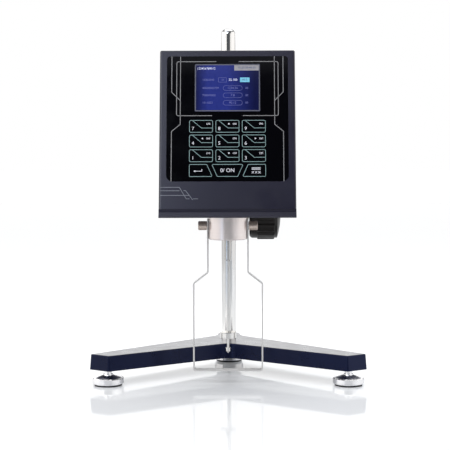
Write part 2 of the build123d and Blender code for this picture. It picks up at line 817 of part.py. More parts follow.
def case_screws():
    """Screws that close the rear cover and the tray."""
    screws = screws_on_rear(cover_screw_places(), head_rear, screw_length)
    upward = Rot(180, 0, 0) * pan_screw(screw_length)
    seat = head_bottom + screw_head_height
    tray = Compound(children=[Pos(x, y, seat) * upward for x, y in tray_screw_places()])
    return Compound(children=[screws, tray])


def bracket_screws():
    seat = head_rear + flange_thickness
    return screws_on_rear(flange_screw_places(), seat, screw_length + flange_thickness)


# ------------------------------------------------------------------ collar, guard and thumbscrews
def collar():
    body = rod_z(collar_dia, collar_bottom, head_bottom, 0, spindle_y)
    body = chamfer(body.edges().group_by(Axis.Z)[0], collar_edge)
    body -= rod_z(collar_bore, collar_bottom + collar_floor, head_bottom + 1, 0, spindle_y)
    body -= rod_z(collar_mouth, collar_bottom - 1, head_bottom, 0, spindle_y)
    for side in (-1, 1):
        x0, x1 = sorted((side * (collar_bore / 2 - 1), side * (collar_radius + 1)))
        body -= rod_x(thumbscrew_shank + 2 * running_fit, x0, x1, spindle_y, screw_height)
    return body


def bearing_plate():
    """Bridge across the collar's mouth that carries the jewel bearing."""
    plate_low = head_bottom - bridge_height
    plate = rod_z(collar_bore - 2 * seat_fit, plate_low, head_bottom, 0, spindle_y)
    return plate - rod_z(bearing_dia + 2 * seat_fit, plate_low - 1, head_bottom + 1, 0, spindle_y)


def jewel_bearing():
    ring = rod_z(bearing_dia, bearing_low, bearing_low + bearing_height, 0, spindle_y)
    return ring - rod_z(pivot_shaft_dia + 2 * running_fit, bearing_low - 1, head_bottom, 0, spindle_y)


def guard_leg():
    half = collar_radius + guard_thickness / 2
    top = head_bottom - 1.5
    centre_line = [
        (half, top), (half, guard_waist_height), (guard_half_width, guard_belly_height),
        (guard_half_width, guard_bottom + guard_thickness / 2),
    ]
    mirrored = [(-x, z) for x, z in reversed(centre_line)]
    field = make_face(Polyline(*centre_line, *mirrored, close=True))
    bends = field.vertices().filter_by(lambda v: v.Y < top - 1)
    field = fillet(bends, guard_bend_radius)
    strip = offset(field, guard_thickness / 2) - offset(field, -guard_thickness / 2)
    strip -= Pos(0, top) * Rectangle(4 * half, 2 * guard_thickness + 2)
    leg = extrude(Plane.XZ * strip, amount=guard_depth / 2, both=True)
    leg = Pos(0, spindle_y, 0) * leg
    slot = rod_x(thumbscrew_shank + 2 * guard_hole_play, -2 * half, 2 * half, spindle_y, screw_height)
    return leg - slot


def thumbscrew(side):
    start = collar_radius + guard_thickness + 0.1
    end = start + thumbscrew_length
    head = rod_x(thumbscrew_dia, start, end, spindle_y, screw_height)
    head = chamfer(head.edges(), thumbscrew_edge)
    shank = rod_x(thumbscrew_shank, collar_bore / 2 + 0.5, start, spindle_y, screw_height)
    screw = head + shank
    return screw if side > 0 else mirror(screw, Plane.YZ)


# ------------------------------------------------------------------ drive train and spindle
def pillars():
    low = head_bottom + head_wall
    return Compound(
        children=[rod_z(pillar_dia, low, motor_plate_bottom, x, y) for x, y in pillar_places()]
    )


def motor_plate():
    half = motor_plate_size / 2
    plate = block(
        -half, half, spindle_y - half, spindle_y + half,
        motor_plate_bottom, motor_plate_bottom + motor_plate_thickness,
    )
    plate = fillet(plate.edges().filter_by(Axis.Z), 4)
    bore = drive_shaft_dia + 4
    return plate - rod_z(bore, motor_plate_bottom - 1, motor_plate_bottom + 5, 0, spindle_y)


def drive_motor():
    low = motor_plate_bottom + motor_plate_thickness
    body = rod_z(motor_dia, low, low + motor_height, 0, spindle_y)
    body = chamfer(body.edges().group_by(Axis.Z)[-1], 1.5)
    return body - rod_z(drive_shaft_dia + 2 * running_fit, low - 1, low + motor_height / 2, 0, spindle_y)


def drive_shaft():
    """Motor shaft with the disc and the post that carries the hairspring."""
    top = motor_plate_bottom + motor_plate_thickness + motor_height / 2 - 1
    shaft = rod_z(drive_shaft_dia, drive_disc_bottom, top, 0, spindle_y)
    disc = rod_z(drive_disc_dia, drive_disc_bottom, drive_disc_bottom + drive_disc_thickness, 0, spindle_y)
    post = rod_z(spring_post_dia, spring_low, drive_disc_bottom, spring_outer, spindle_y)
    return shaft + disc + post


def hairspring():
    """Flat spiral from the pivot's collet out to the drive disc's post."""
    growth = (spring_outer - spring_post_dia / 2 - spring_strip - 0.3 - spring_inner) / spring_turns
    inner_edge, outer_edge = [], []
    for step in range(spring_steps * spring_turns + 1):
        turn = 2 * pi * step / spring_steps
        radius = spring_inner + growth * step / spring_steps
        inner_edge.append((radius * cos(turn), radius * sin(turn)))
        outer_edge.append(((radius + spring_strip) * cos(turn), (radius + spring_strip) * sin(turn)))
    outline = make_face(Polyline(*inner_edge, *reversed(outer_edge), close=True))
    return Pos(0, spindle_y, spring_low) * extrude(outline, amount=spring_width)


def pivot_shaft():
    shaft = rod_z(pivot_shaft_dia, collar_bottom, pivot_shaft_top, 0, spindle_y)
    collet = rod_z(2 * spring_inner - 0.6, spring_low - 1, spring_top + 1, 0, spindle_y)
    return shaft + collet


def torque_dial():
    dial = rod_z(dial_dia, dial_height, dial_height + dial_thickness, 0, spindle_y)
    notch = block(
        dial_dia / 2 - 2 * dial_notch, dial_dia, spindle_y - dial_notch / 2, spindle_y + dial_notch / 2,
        dial_height - 1, dial_height + 3,
    )
    bore = rod_z(pivot_shaft_dia + 2 * seat_fit, dial_height - 1, dial_height + 3, 0, spindle_y)
    return dial - notch - bore


def spindle_coupling():
    top = collar_bottom
    nut = rod_z(coupling_dia, coupling_bottom, top, 0, spindle_y)
    nut = chamfer(nut.edges().group_by(Axis.Z)[0], 0.8)
    mid = coupling_bottom + coupling_groove_rise
    groove = rod_z(coupling_dia + 2, mid, mid + 2 * coupling_groove, 0, spindle_y)
    groove -= rod_z(coupling_dia - 2 * coupling_groove, mid - 1, mid + 2, 0, spindle_y)
    socket_top = coupling_bottom + coupling_socket
    socket = rod_z(spindle_shaft_dia + 2 * seat_fit, coupling_bottom - 1, socket_top, 0, spindle_y)
    return nut - groove - socket


def spindle():
    radius = spindle_shaft_dia / 2
    disc_radius = disc_dia / 2
    disc_top = disc_bottom + disc_height
    groove = radius - groove_depth
    groove_low = immersion_groove - groove_half_width
    groove_high = immersion_groove + groove_half_width
    top = coupling_bottom + coupling_socket - 0.5
    profile = [
        (0, spindle_tip), (tip_dia / 2, spindle_tip + tip_dia / 2), (tip_dia / 2, spindle_tip + tip_dia),
        (radius, spindle_tip + tip_dia), (radius, disc_bottom), (disc_radius - 0.4, disc_bottom),
        (disc_radius, disc_bottom + 0.4), (disc_radius, disc_top - 0.4), (disc_radius - 0.4, disc_top),
        (radius, disc_top), (radius, groove_low), (groove, groove_low),
        (groove, groove_high), (radius, groove_high), (radius, top), (0, top),
    ]
    return Pos(0, spindle_y, 0) * turned(profile)


# ------------------------------------------------------------------ rear and top fittings
def power_inlet():
    half_w, half_h = inlet_width / 2 - cover_gap, inlet_height / 2 - cover_gap
    body = block(
        inlet_x - half_w, inlet_x + half_w, cover_front - 18, head_rear,
        fitting_height - half_h, fitting_height + half_h,
    )
    flange = block(
        inlet_x - half_w - 2, inlet_x + half_w + 2, head_rear, head_rear + fitting_flange,
        fitting_height - half_h - 2, fitting_height + half_h + 2,
    )
    body += fillet(flange.edges().filter_by(Axis.Y), 2)
    body -= block(
        inlet_x - half_w + 2, inlet_x + half_w - 2, head_rear - inlet_depth, head_rear + 2,
        fitting_height - half_h + 2.5, fitting_height + half_h - 2.5,
    )
    for pin_x, pin_z in ((-7, -1.5), (0, 2), (7, -1.5)):
        body += block(
            inlet_x + pin_x - 1, inlet_x + pin_x + 1, head_rear - inlet_depth, head_rear - inlet_pin_recess,
            fitting_height + pin_z - 2, fitting_height + pin_z + 2,
        )
    return body


def switch_frame():
    half_w, half_h = switch_width / 2 - cover_gap, switch_tall / 2 - cover_gap
    low, high = fitting_upper - half_h, fitting_upper + half_h
    wall = switch_wall
    body = block(inlet_x - half_w, inlet_x + half_w, cover_front - 16, head_rear, low, high)
    flange = block(
        inlet_x - half_w - 1.5, inlet_x + half_w + 1.5, head_rear, head_rear + fitting_flange,
        low - 1.5, high + 1.5,
    )
    body += fillet(flange.edges().filter_by(Axis.Y), 1.5)
    body -= block(
        inlet_x - half_w + wall, inlet_x + half_w - wall, cover_front - 10, head_rear + 2,
        low + wall, high - wall,
    )
    reach = half_w - wall + rocker_pin_length + cover_gap
    bore = rocker_pin_dia + 2 * running_fit
    return body - rod_x(bore, inlet_x - reach, inlet_x + reach, head_rear - rocker_depth, fitting_upper)


def power_rocker():
    """Rocker on two round pins across the switch, at rest with its upper end pressed in."""
    half_w = switch_width / 2 - 2 * cover_gap - switch_wall
    half_length = switch_tall / 2 - cover_gap - switch_wall - 1.3
    pivot_y = head_rear - rocker_depth
    high = half_length * tan(radians(rocker_throw))
    outline = [
        (pivot_y - 3.5, fitting_upper - 3), (pivot_y - 3.5, fitting_upper + 3),
        (pivot_y + 1.6, fitting_upper + half_length), (pivot_y + 2.6, fitting_upper),
        (pivot_y + 1.6 + high, fitting_upper - half_length),
    ]
    face = make_face(Plane.YZ * Polyline(*outline, close=True))
    rocker = Pos(inlet_x, 0, 0) * extrude(face, amount=half_w, both=True)
    reach = half_w + rocker_pin_length
    return rocker + rod_x(rocker_pin_dia, inlet_x - reach, inlet_x + reach, pivot_y, fitting_upper)


def probe_socket():
    half = probe_socket_size / 2 - cover_gap
    edge = half + probe_flange
    low, high = fitting_height - half, fitting_height + half
    body = block(probe_socket_x - half, probe_socket_x + half, cover_front - 12, head_rear, low, high)
    flange = block(
        probe_socket_x - edge, probe_socket_x + edge, head_rear, head_rear + fitting_flange,
        fitting_height - edge, fitting_height + edge,
    )
    body += fillet(flange.edges().filter_by(Axis.Y), probe_flange)
    body -= rod_y(probe_bore_dia, cover_front - 8, head_rear + 2, probe_socket_x, fitting_height)
    for pin in range(5):
        angle = pi * pin / 4
        body += rod_y(
            1, cover_front - 8, cover_front - 1,
            probe_socket_x + 3.5 * cos(angle), fitting_height + 3.5 * sin(angle),
        )
    return body


def data_port():
    half_w, half_h = data_port_width / 2 - cover_gap, data_port_tall / 2 - cover_gap
    body = block(
        probe_socket_x - half_w, probe_socket_x + half_w, cover_front - 8, head_rear,
        fitting_upper - half_h, fitting_upper + half_h,
    )
    half_shell, half_tall = data_shell_width / 2, data_shell_tall / 2
    shell = block(
        probe_socket_x - half_shell, probe_socket_x + half_shell, head_rear, head_rear + data_shell_proud,
        fitting_upper - half_tall, fitting_upper + half_tall,
    )
    return body + fillet(shell.edges().filter_by(Axis.Y), 2.5)


def power_board():
    """Supply board standing on the tray behind the drive train."""
    front = cover_front - supply_reach
    face = front + board_thickness
    half = head_width / 2 - supply_margin
    foot = head_bottom + head_wall
    low = foot + supply_sill
    board = block(-half, half, front, face, foot, foot + supply_height)
    left = -half + transformer_inset
    board += block(
        left, left + transformer_size, face, face + transformer_depth, low, low + transformer_size
    )
    right = half - capacitor_inset
    return board + block(
        right - capacitor_width, right, face, face + capacitor_depth, low, low + capacitor_height
    )


def level_body():
    y = spindle_y + level_reach
    cup = rod_z(level_dia, head_top - level_depth, head_top, 0, y)
    cup += rod_z(level_flange_dia, head_top, head_top + level_flange, 0, y)
    floor = head_top - level_depth + level_wall
    return cup - rod_z(level_dia - 2 * level_wall, floor, head_top + 2, 0, y)


def level_vial():
    y = spindle_y + level_reach
    floor = head_top - level_depth + level_wall
    vial = rod_z(level_dia - 2 * level_wall - 2 * seat_fit, floor, head_top + level_flange, 0, y)
    return chamfer(vial.edges().group_by(Axis.Z)[-1], 0.6)


# ------------------------------------------------------------------ parts list
def all_parts():
    parts = {"base_casting": base_casting(), "mast": mast(), "mast_nut": mast_nut()}
    for name, (x, y) in foot_places.items():
        parts[f"foot_ring_{name}"] = foot_ring(x, y)
        parts[f"foot_screw_{name}"] = foot_screw(x, y)
    parts.update(
        clamp_block=clamp_block(), guide_bushes=guide_bushes(), tension_screw=tension_screw(),
        pinion=pinion(), pinion_bush=pinion_bush(),
        lift_knob=lift_knob(), knob_cap=knob_cap(),
        head_housing=head_housing(), rear_cover=rear_cover(), bottom_tray=bottom_tray(),
        case_screws=case_screws(), bracket_screws=bracket_screws(),
        membrane_panel=membrane_panel(), display_lens=display_lens(), display_module=display_module(),
        main_board=main_board(), power_board=power_board(),
    )
    parts.update(key_caps())
    parts.update(
        collar=collar(), bearing_plate=bearing_plate(), jewel_bearing=jewel_bearing(),
        guard_leg=guard_leg(), thumbscrew_left=thumbscrew(-1), thumbscrew_right=thumbscrew(1),
        pillars=pillars(), motor_plate=motor_plate(), drive_motor=drive_motor(),
        drive_shaft=drive_shaft(), hairspring=hairspring(),
        pivot_shaft=pivot_shaft(), torque_dial=torque_dial(), spindle_coupling=spindle_coupling(),
        spindle=spindle(),
        power_inlet=power_inlet(), switch_frame=switch_frame(), power_rocker=power_rocker(),
        probe_socket=probe_socket(), data_port=data_port(),
        level_body=level_body(), level_vial=level_vial(),
    )
    return parts


os.makedirs("parts", exist_ok=True)
for node, shape in all_parts().items():
    export_step(shape, f"parts/{node}.step")
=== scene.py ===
from math import cos, pi, radians, sin

import bmesh
import bpy
from bpy.props import FloatProperty, FloatVectorProperty, IntProperty, PointerProperty
from bpy.types import Operator, Panel, PropertyGroup
from mathutils import Matrix, Vector


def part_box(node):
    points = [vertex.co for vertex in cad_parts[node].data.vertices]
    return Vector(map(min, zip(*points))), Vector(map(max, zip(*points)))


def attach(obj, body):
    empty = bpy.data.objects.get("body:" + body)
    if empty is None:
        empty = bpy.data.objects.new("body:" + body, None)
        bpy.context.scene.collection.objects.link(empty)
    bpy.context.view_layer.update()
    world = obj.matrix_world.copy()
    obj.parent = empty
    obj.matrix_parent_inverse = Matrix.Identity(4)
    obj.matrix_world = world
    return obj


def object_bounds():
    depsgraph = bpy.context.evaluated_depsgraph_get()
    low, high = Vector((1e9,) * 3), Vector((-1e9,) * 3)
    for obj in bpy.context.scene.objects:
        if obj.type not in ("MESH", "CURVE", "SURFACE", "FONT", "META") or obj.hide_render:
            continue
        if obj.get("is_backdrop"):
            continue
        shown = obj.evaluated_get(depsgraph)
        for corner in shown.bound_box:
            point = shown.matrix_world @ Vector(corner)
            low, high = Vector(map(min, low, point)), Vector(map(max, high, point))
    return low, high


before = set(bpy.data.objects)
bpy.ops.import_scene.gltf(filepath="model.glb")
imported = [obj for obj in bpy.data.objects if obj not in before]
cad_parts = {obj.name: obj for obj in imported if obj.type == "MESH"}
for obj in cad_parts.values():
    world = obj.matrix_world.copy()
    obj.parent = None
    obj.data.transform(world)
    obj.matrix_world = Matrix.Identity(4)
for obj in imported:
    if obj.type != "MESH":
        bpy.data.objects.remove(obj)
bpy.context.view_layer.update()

bl_info = {
    "name": "Rotational viscometer dressing",
    "version": (1, 0, 0),
    "blender": (4, 5, 0),
    "location": "3D View > Sidebar > Viscometer",
    "description": "Dresses a bench-top rotational viscometer with its finishes, prints and small parts",
    "category": "Object",
}

MM = 0.001
BODY = "carriage"

DIGIT_ROWS = (("7", "8", "9"), ("4", "5", "6"), ("1", "2", "3"))
KEY_NODES = ["key_" + digit for row in DIGIT_ROWS for digit in row] + ["key_enter", "key_zero", "key_clear"]

FACING = 0.9  # least cosine between a facet and the way its face looks
SAME_WAY = 0.01  # most that the normals of one flat face differ
SKIN = 0.1 * MM  # facets this near the outermost one belong to the face
WELD = 1e-7  # corners nearer than this are one


# ------------------------------------------------------------------ sizes and colours
class VISCO_PG_print(PropertyGroup):
    lift: FloatProperty(
        name="Print thickness", description="How far the ink stands off the film",
        default=0.04 * MM, unit="LENGTH",
    )
    stripe: FloatProperty(
        name="Pinstripe width", description="Width of the grey pinstripes", default=0.8 * MM, unit="LENGTH",
    )
    key_line: FloatProperty(
        name="Key line width", description="Width of the lines round the keys", default=0.62 * MM,
        unit="LENGTH",
    )
    screen_frame: FloatProperty(
        name="Screen frame width", description="Width of the grey line round the screen",
        default=1.3 * MM, unit="LENGTH",
    )
    digit_size: FloatProperty(
        name="Key digit size", description="Height setting of the large key digits", default=5.4 * MM,
        unit="LENGTH",
    )
    mark_size: FloatProperty(
        name="Key mark size", description="Height setting of the small key marks", default=2.9 * MM,
        unit="LENGTH",
    )


class VISCO_PG_details(PropertyGroup):
    knurl_count: IntProperty(
        name="Knurl ridges", description="Ridges round a thumbscrew's head", default=30, min=8, max=60,
    )
    knurl_length: FloatProperty(
        name="Knurl length", description="Length of the knurled band", default=8.0 * MM, unit="LENGTH",
    )
    knurl_width: FloatProperty(
        name="Knurl width", description="Width of one ridge", default=0.5 * MM, unit="LENGTH",
    )
    knurl_rise: FloatProperty(
        name="Knurl height", description="How far a ridge stands out", default=0.18 * MM, unit="LENGTH",
    )
    stem_radius: FloatProperty(
        name="Stem radius", description="Radius of a foot's threaded stem", default=4.0 * MM, unit="LENGTH",
    )
    thread_pitch: FloatProperty(
        name="Thread pitch", description="Rise of the foot thread in one turn", default=1.25 * MM,
        unit="LENGTH",
    )
    thread_size: FloatProperty(
        name="Thread size", description="Half the width of the thread's crest", default=0.4 * MM,
        unit="LENGTH",
    )
    thread_rise: FloatProperty(
        name="Thread height", description="How far the crest stands out of the stem", default=0.04 * MM,
        unit="LENGTH",
    )
    recess_reach: FloatProperty(
        name="Recess reach", description="Length of a screw's cross recess", default=3.4 * MM, unit="LENGTH",
    )
    recess_slot: FloatProperty(
        name="Recess slot", description="Width of a screw's cross recess", default=0.8 * MM, unit="LENGTH",
    )
    # The dark marks are painted shade standing in for the screw recesses and the port's pin holes.
    recess_rise: FloatProperty(
        name="Mark thickness", description="How far the dark marks stand off the metal", default=0.03 * MM,
        unit="LENGTH",
    )
    pin_pitch: FloatProperty(
        name="Pin pitch", description="Spacing of the data port's pins", default=2.77 * MM, unit="LENGTH",
    )
    pin_radius: FloatProperty(
        name="Pin hole radius", description="Radius of one pin hole", default=0.55 * MM, unit="LENGTH",
    )


class VISCO_PG_colours(PropertyGroup):
    head: FloatVectorProperty(
        name="Head paint", description="Graphite navy paint of the head", subtype="COLOR", size=3,
        default=(0.0050, 0.0036, 0.0195), min=0, max=1,
    )
    base: FloatVectorProperty(
        name="Base paint", description="Dark navy gloss paint of the base", subtype="COLOR", size=3,
        default=(0.005, 0.009, 0.038), min=0, max=1,
    )
    film: FloatVectorProperty(
        name="Panel film", description="Black gloss film of the keypad", subtype="COLOR", size=3,
        default=(0.0012, 0.0012, 0.0022), min=0, max=1,
    )
    screen: FloatVectorProperty(
        name="Screen blue", description="Lit blue of the display", subtype="COLOR", size=3,
        default=(0.020, 0.031, 0.212), min=0, max=1,
    )
    stripe: FloatVectorProperty(
        name="Pinstripe ink", description="Warm grey ink of the pinstripes", subtype="COLOR", size=3,
        default=(0.225, 0.22, 0.225), min=0, max=1,
    )
    key_ink: FloatVectorProperty(
        name="Key ink", description="Teal grey ink round the keys", subtype="COLOR", size=3,
        default=(0.19, 0.30, 0.30), min=0, max=1,
    )


class VISCO_PG_stage(PropertyGroup):
    lens: FloatProperty(name="Lens", description="Focal length in millimetres", default=94.9)
    distance: FloatProperty(
        name="Camera distance", description="From the spindle's axis to the camera",
        default=1.3392, unit="LENGTH",
    )
    height: FloatProperty(
        name="Camera height", description="Height of the camera above the floor",
        default=0.2704, unit="LENGTH",
    )
    aside: FloatProperty(
        name="Camera offset", description="Camera to the right of the spindle's axis",
        default=0.0110, unit="LENGTH",
    )
    pitch: FloatProperty(
        name="Camera pitch", description="How far the camera looks down", default=radians(3.809),
        unit="ROTATION",
    )
    turn: FloatProperty(
        name="Camera turn", description="How far the camera looks to the left",
        default=radians(0.610), unit="ROTATION",
    )
    roll: FloatProperty(
        name="Camera roll", description="Camera's tilt about its line of sight",
        default=radians(-0.14), unit="ROTATION",
    )


# ------------------------------------------------------------------ material building
class Finish:
    """A node material with short ways to add patterns on Object coordinates."""

    def __init__(self, name, colour, roughness, metallic=0.0):
        self.material = bpy.data.materials.new(name)
        self.material.use_nodes = True
        self.nodes = self.material.node_tree.nodes
        self.links = self.material.node_tree.links
        self.shader = self.nodes["Principled BSDF"]
        self.shader.inputs["Base Color"].default_value = (*colour, 1)
        self.shader.inputs["Roughness"].default_value = roughness
        self.shader.inputs["Metallic"].default_value = metallic
        self.colour, self.roughness = colour, roughness
        self.coordinates = self.nodes.new("ShaderNodeTexCoord").outputs["Object"]
        self.last_normal = None

    def set(self, **values):
        for name, value in values.items():
            self.shader.inputs[name.replace("_", " ")].default_value = value
        return self

    def noise(self, scale, stretch=(1, 1, 1), detail=3.0):
        mapping = self.nodes.new("ShaderNodeMapping")
        mapping.inputs["Scale"].default_value = stretch
        self.links.new(self.coordinates, mapping.inputs["Vector"])
        noise = self.nodes.new("ShaderNodeTexNoise")
        noise.inputs["Scale"].default_value = scale
        noise.inputs["Detail"].default_value = detail
        self.links.new(mapping.outputs["Vector"], noise.inputs["Vector"])
        return noise.outputs["Fac"]

    def ranged(self, value, low, high, start=0.3, end=0.7):
        node = self.nodes.new("ShaderNodeMapRange")
        node.inputs["From Min"].default_value = start
        node.inputs["From Max"].default_value = end
        node.inputs["To Min"].default_value = low
        node.inputs["To Max"].default_value = high
        self.links.new(value, node.inputs["Value"])
        return node.outputs["Result"]

    def product(self, *values):
        total = values[0]
        for value in values[1:]:
            times = self.nodes.new("ShaderNodeMath")
            times.operation = "MULTIPLY"
            self.links.new(total, times.inputs[0])
            self.links.new(value, times.inputs[1])
            total = times.outputs["Value"]
        return total

    def vary_roughness(self, value, spread):
        low, high = self.roughness - spread, self.roughness + spread
        self.links.new(self.ranged(value, max(low, 0.01), high), self.shader.inputs["Roughness"])
        return self

    def vary_colour(self, value, low, high):
        """Shades the base colour from low to high times itself along a pattern."""
        ramp = self.nodes.new("ShaderNodeMix")
        ramp.data_type = "RGBA"
        ramp.inputs["A"].default_value = (*[channel * low for channel in self.colour], 1)
        ramp.inputs["B"].default_value = (*[min(channel * high, 1) for channel in self.colour], 1)
        self.links.new(self.ranged(value, 0, 1), ramp.inputs["Factor"])
        self.links.new(ramp.outputs["Result"], self.shader.inputs["Base Color"])
        return self

    def bump(self, value, depth, strength=1.0):
        """Adds a bump of a real depth in metres on top of those before it."""
        bump = self.nodes.new("ShaderNodeBump")
        bump.inputs["Distance"].default_value = depth
        bump.inputs["Strength"].default_value = strength
        self.links.new(value, bump.inputs["Height"])
        if self.last_normal:
            self.links.new(self.last_normal, bump.inputs["Normal"])
        self.last_normal = bump.outputs["Normal"]
        self.links.new(self.last_normal, self.shader.inputs["Normal"])
        return self


def painted(name, colour, roughness, coat, grain=0.01 * MM, index=1.5, flake=0.0):
    """Sprayed paint: slight orange peel, faint dust and uneven sheen, with metal flake if any."""
    finish = Finish(name, colour, roughness, flake)
    finish.set(Coat_Weight=coat, Coat_Roughness=roughness * 0.6, IOR=index, Coat_IOR=index)
    finish.vary_colour(finish.noise(9, detail=5), 0.9, 1.12)
    finish.vary_roughness(finish.noise(60, detail=6), 0.05)
    return finish.bump(finish.noise(900, detail=2), grain, 0.5).material


def moulded(name, colour, roughness, grain_scale=1500, grain=0.02 * MM, index=1.45):
    """Moulded plastic or rubber with a spark-eroded grain."""
    finish = Finish(name, colour, roughness)
    finish.set(IOR=index)
    finish.vary_colour(finish.noise(25, detail=4), 0.82, 1.2)
    finish.vary_roughness(finish.noise(120, detail=5), 0.07)
    return finish.bump(finish.noise(grain_scale, detail=2), grain, 0.7).material


def polished(name, colour, roughness):
    """Plated metal with faint smears."""
    finish = Finish(name, colour, roughness, 1.0)
    finish.vary_roughness(finish.noise(35, detail=6), roughness * 0.6)
    return finish.bump(finish.noise(500, detail=2), 0.002 * MM, 0.3).material


def turned(name, colour, roughness, stretch, depth=0.001 * MM, metallic=1.0, spread=0.06):
    """Machined metal: fine tool marks along one direction."""
    finish = Finish(name, colour, roughness, metallic)
    marks = finish.noise(1, stretch, detail=4)
    finish.vary_colour(finish.noise(1, stretch, detail=2), 0.97, 1.03)
    finish.vary_roughness(marks, spread)
    return finish.bump(marks, depth, 0.5).material


def glossy_film(name, colour, roughness=0.09):
    """Printed polyester film: deep gloss with a fine hammered texture."""
    finish = Finish(name, colour, roughness)
    finish.set(IOR=1.2)
    finish.vary_colour(finish.noise(6, detail=3), 0.8, 1.3)
    finish.vary_roughness(finish.noise(80, detail=4), 0.03)
    return finish.bump(finish.noise(700, detail=2), 0.003 * MM, 0.4).material


def ink(name, colour, glow=0.0):
    finish = Finish(name, colour, 0.45)
    finish.vary_colour(finish.noise(400, detail=3), 0.88, 1.1)
    if glow:
        finish.set(Emission_Color=(*colour, 1), Emission_Strength=glow)
    return finish.bump(finish.noise(2500, detail=2), 0.002 * MM, 0.3).material


def lit_screen(name, colour):
    """Display seen through its lens: lit blue, brightest left of the middle."""
    low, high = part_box("display_lens")
    finish = Finish(name, colour, 0.12)
    mapping = finish.nodes.new("ShaderNodeMapping")
    mapping.vector_type = "TEXTURE"
    mapping.inputs["Location"].default_value = low
    mapping.inputs["Scale"].default_value = [b - a for a, b in zip(low, high)]
    finish.links.new(finish.coordinates, mapping.inputs["Vector"])
    split = finish.nodes.new("ShaderNodeSeparateXYZ")
    finish.links.new(mapping.outputs["Vector"], split.inputs["Vector"])
    across = finish.ranged(split.outputs["X"], 1.0, 0.16, start=0.48, end=0.92)
    side = finish.ranged(split.outputs["X"], 0.16, 1.0, start=0.0, end=0.2)
    grain = finish.ranged(finish.noise(300, detail=2), 0.9, 1.08)
    level = finish.product(across, side, grain)
    shade = finish.nodes.new("ShaderNodeMix")
    shade.data_type = "RGBA"
    shade.inputs["A"].default_value = (0.0, 0.0, 0.012, 1)
    shade.inputs["B"].default_value = (*colour, 1)
    finish.links.new(level, shade.inputs["Factor"])
    finish.links.new(shade.outputs["Result"], finish.shader.inputs["Emission Color"])
    finish.set(Emission_Strength=1.0, IOR=1.35)
    dark = tuple(channel * 0.02 for channel in colour)
    finish.shader.inputs["Base Color"].default_value = (*dark, 1)
    return finish.material


def dress(node, material):
    """Gives a CAD node its finish."""
    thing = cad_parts[node]
    thing.data.materials.clear()
    thing.data.materials.append(material)


# ------------------------------------------------------------------ mesh building
def placed(name, data):
    """New object, linked to the scene."""
    thing = bpy.data.objects.new(name, data)
    bpy.context.scene.collection.objects.link(thing)
    return thing


def meshed(name, shaped):
    """New mesh from a bmesh, which is freed."""
    mesh = bpy.data.meshes.new(name)
    shaped.to_mesh(mesh)
    shaped.free()
    return mesh


def new_piece(name, mesh, material, body):
    """Added piece in one finish, which rides on a body."""
    piece = placed(name, mesh)
    mesh.materials.clear()
    mesh.materials.append(material)
    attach(piece, body)
    return piece


class Face:
    """Flat outer face of a CAD node, with u across it and v up it, in metres."""

    def __init__(self, node, outward=(0, -1, 0), lowest=0.0):
        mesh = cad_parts[node].data
        outward = Vector(outward)
        facing = [p for p in mesh.polygons if p.normal.dot(outward) > FACING and p.center.z > lowest]
        level = max(facing, key=lambda p: p.area * (1 + p.center.dot(outward)))
        self.normal = level.normal.normalized()
        upright = Vector((0, 1, 0)) if abs(self.normal.z) > FACING else Vector((0, 0, 1))
        self.across = upright.cross(outward)
        self.up = self.normal.cross(self.across)
        skin = [p for p in facing if (p.normal - self.normal).length < SAME_WAY]
        outermost = max(p.center.dot(self.normal) for p in skin)
        corners = [
            mesh.vertices[i].co for p in skin for i in p.vertices
            if p.center.dot(self.normal) > outermost - SKIN
        ]
        self.low_v = min(c.dot(self.up) for c in corners)
        self.high_v = max(c.dot(self.up) for c in corners)
        self.low_u = min(c.dot(self.across) for c in corners)
        self.high_u = max(c.dot(self.across) for c in corners)
        self.depth = outermost

    def point(self, u, v, w=0.0):
        """World place of a point, with v measured from the face's lower edge."""
        return self.across * u + self.up * (self.low_v + v) + self.normal * (self.depth + w)


def ink_mesh(name, face, shapes, thickness):
    """Closed flat plates, one for each list of (u, v) corners."""
    shaped = bmesh.new()
    for corners in shapes:
        area = sum(a[0] * b[1] - b[0] * a[1] for a, b in zip(corners, corners[1:] + corners[:1]))
        if area < 0:
            corners = corners[::-1]
        top = [shaped.verts.new(face.point(u, v, thickness)) for u, v in corners]
        low = [shaped.verts.new(face.point(u, v, 0.0)) for u, v in corners]
        shaped.faces.new(top)
        shaped.faces.new(low[::-1])
        for i in range(len(top)):
            j = (i + 1) % len(top)
            shaped.faces.new((low[i], low[j], top[j], top[i]))
    return meshed(name, shaped)


def ribbon(points, width, closed=False):
    """Strips of a mitred line through (u, v) points."""
    path = [Vector(p) for p in points]
    count = len(path)
    left, right = [], []
    for i, here in enumerate(path):
        before = path[i - 1] if i or closed else here
        after = path[(i + 1) % count] if i < count - 1 or closed else here
        into = (here - before).normalized() if before != here else (after - here).normalized()
        out = (after - here).normalized() if after != here else into
        side_in, side_out = Vector((-into.y, into.x)), Vector((-out.y, out.x))
        mitre = (side_in + side_out).normalized()
        reach = width / 2 / max(mitre.dot(side_out), 0.3)
        left.append(tuple(here + mitre * reach))
        right.append(tuple(here - mitre * reach))
    last = count if closed else count - 1
    return [
        [left[i], right[i], right[(i + 1) % count], left[(i + 1) % count]] for i in range(last)
    ]


def rounded(corners, radius, steps=4):
    """Closed outline with each corner rounded by an arc."""
    path = [Vector(c) for c in corners]
    outline = []
    for i, here in enumerate(path):
        into = (path[i - 1] - here).normalized()
        out = (path[(i + 1) % len(path)] - here).normalized()
        half = into.angle(out) / 2
        reach = radius * cos(half) / sin(half)
        centre = here + (into + out).normalized() * (radius / sin(half))
        start, end = here + into * reach - centre, here + out * reach - centre
        for step in range(steps + 1):
            turn = step / steps
            outline.append(tuple(centre + (start * (1 - turn) + end * turn).normalized() * radius))
    return outline


def rectangle(u, v, width, height):
    """Corners of a rectangle centred on (u, v)."""
    a, b = width / 2, height / 2
    return [(u - a, v - b), (u + a, v - b), (u + a, v + b), (u - a, v + b)]


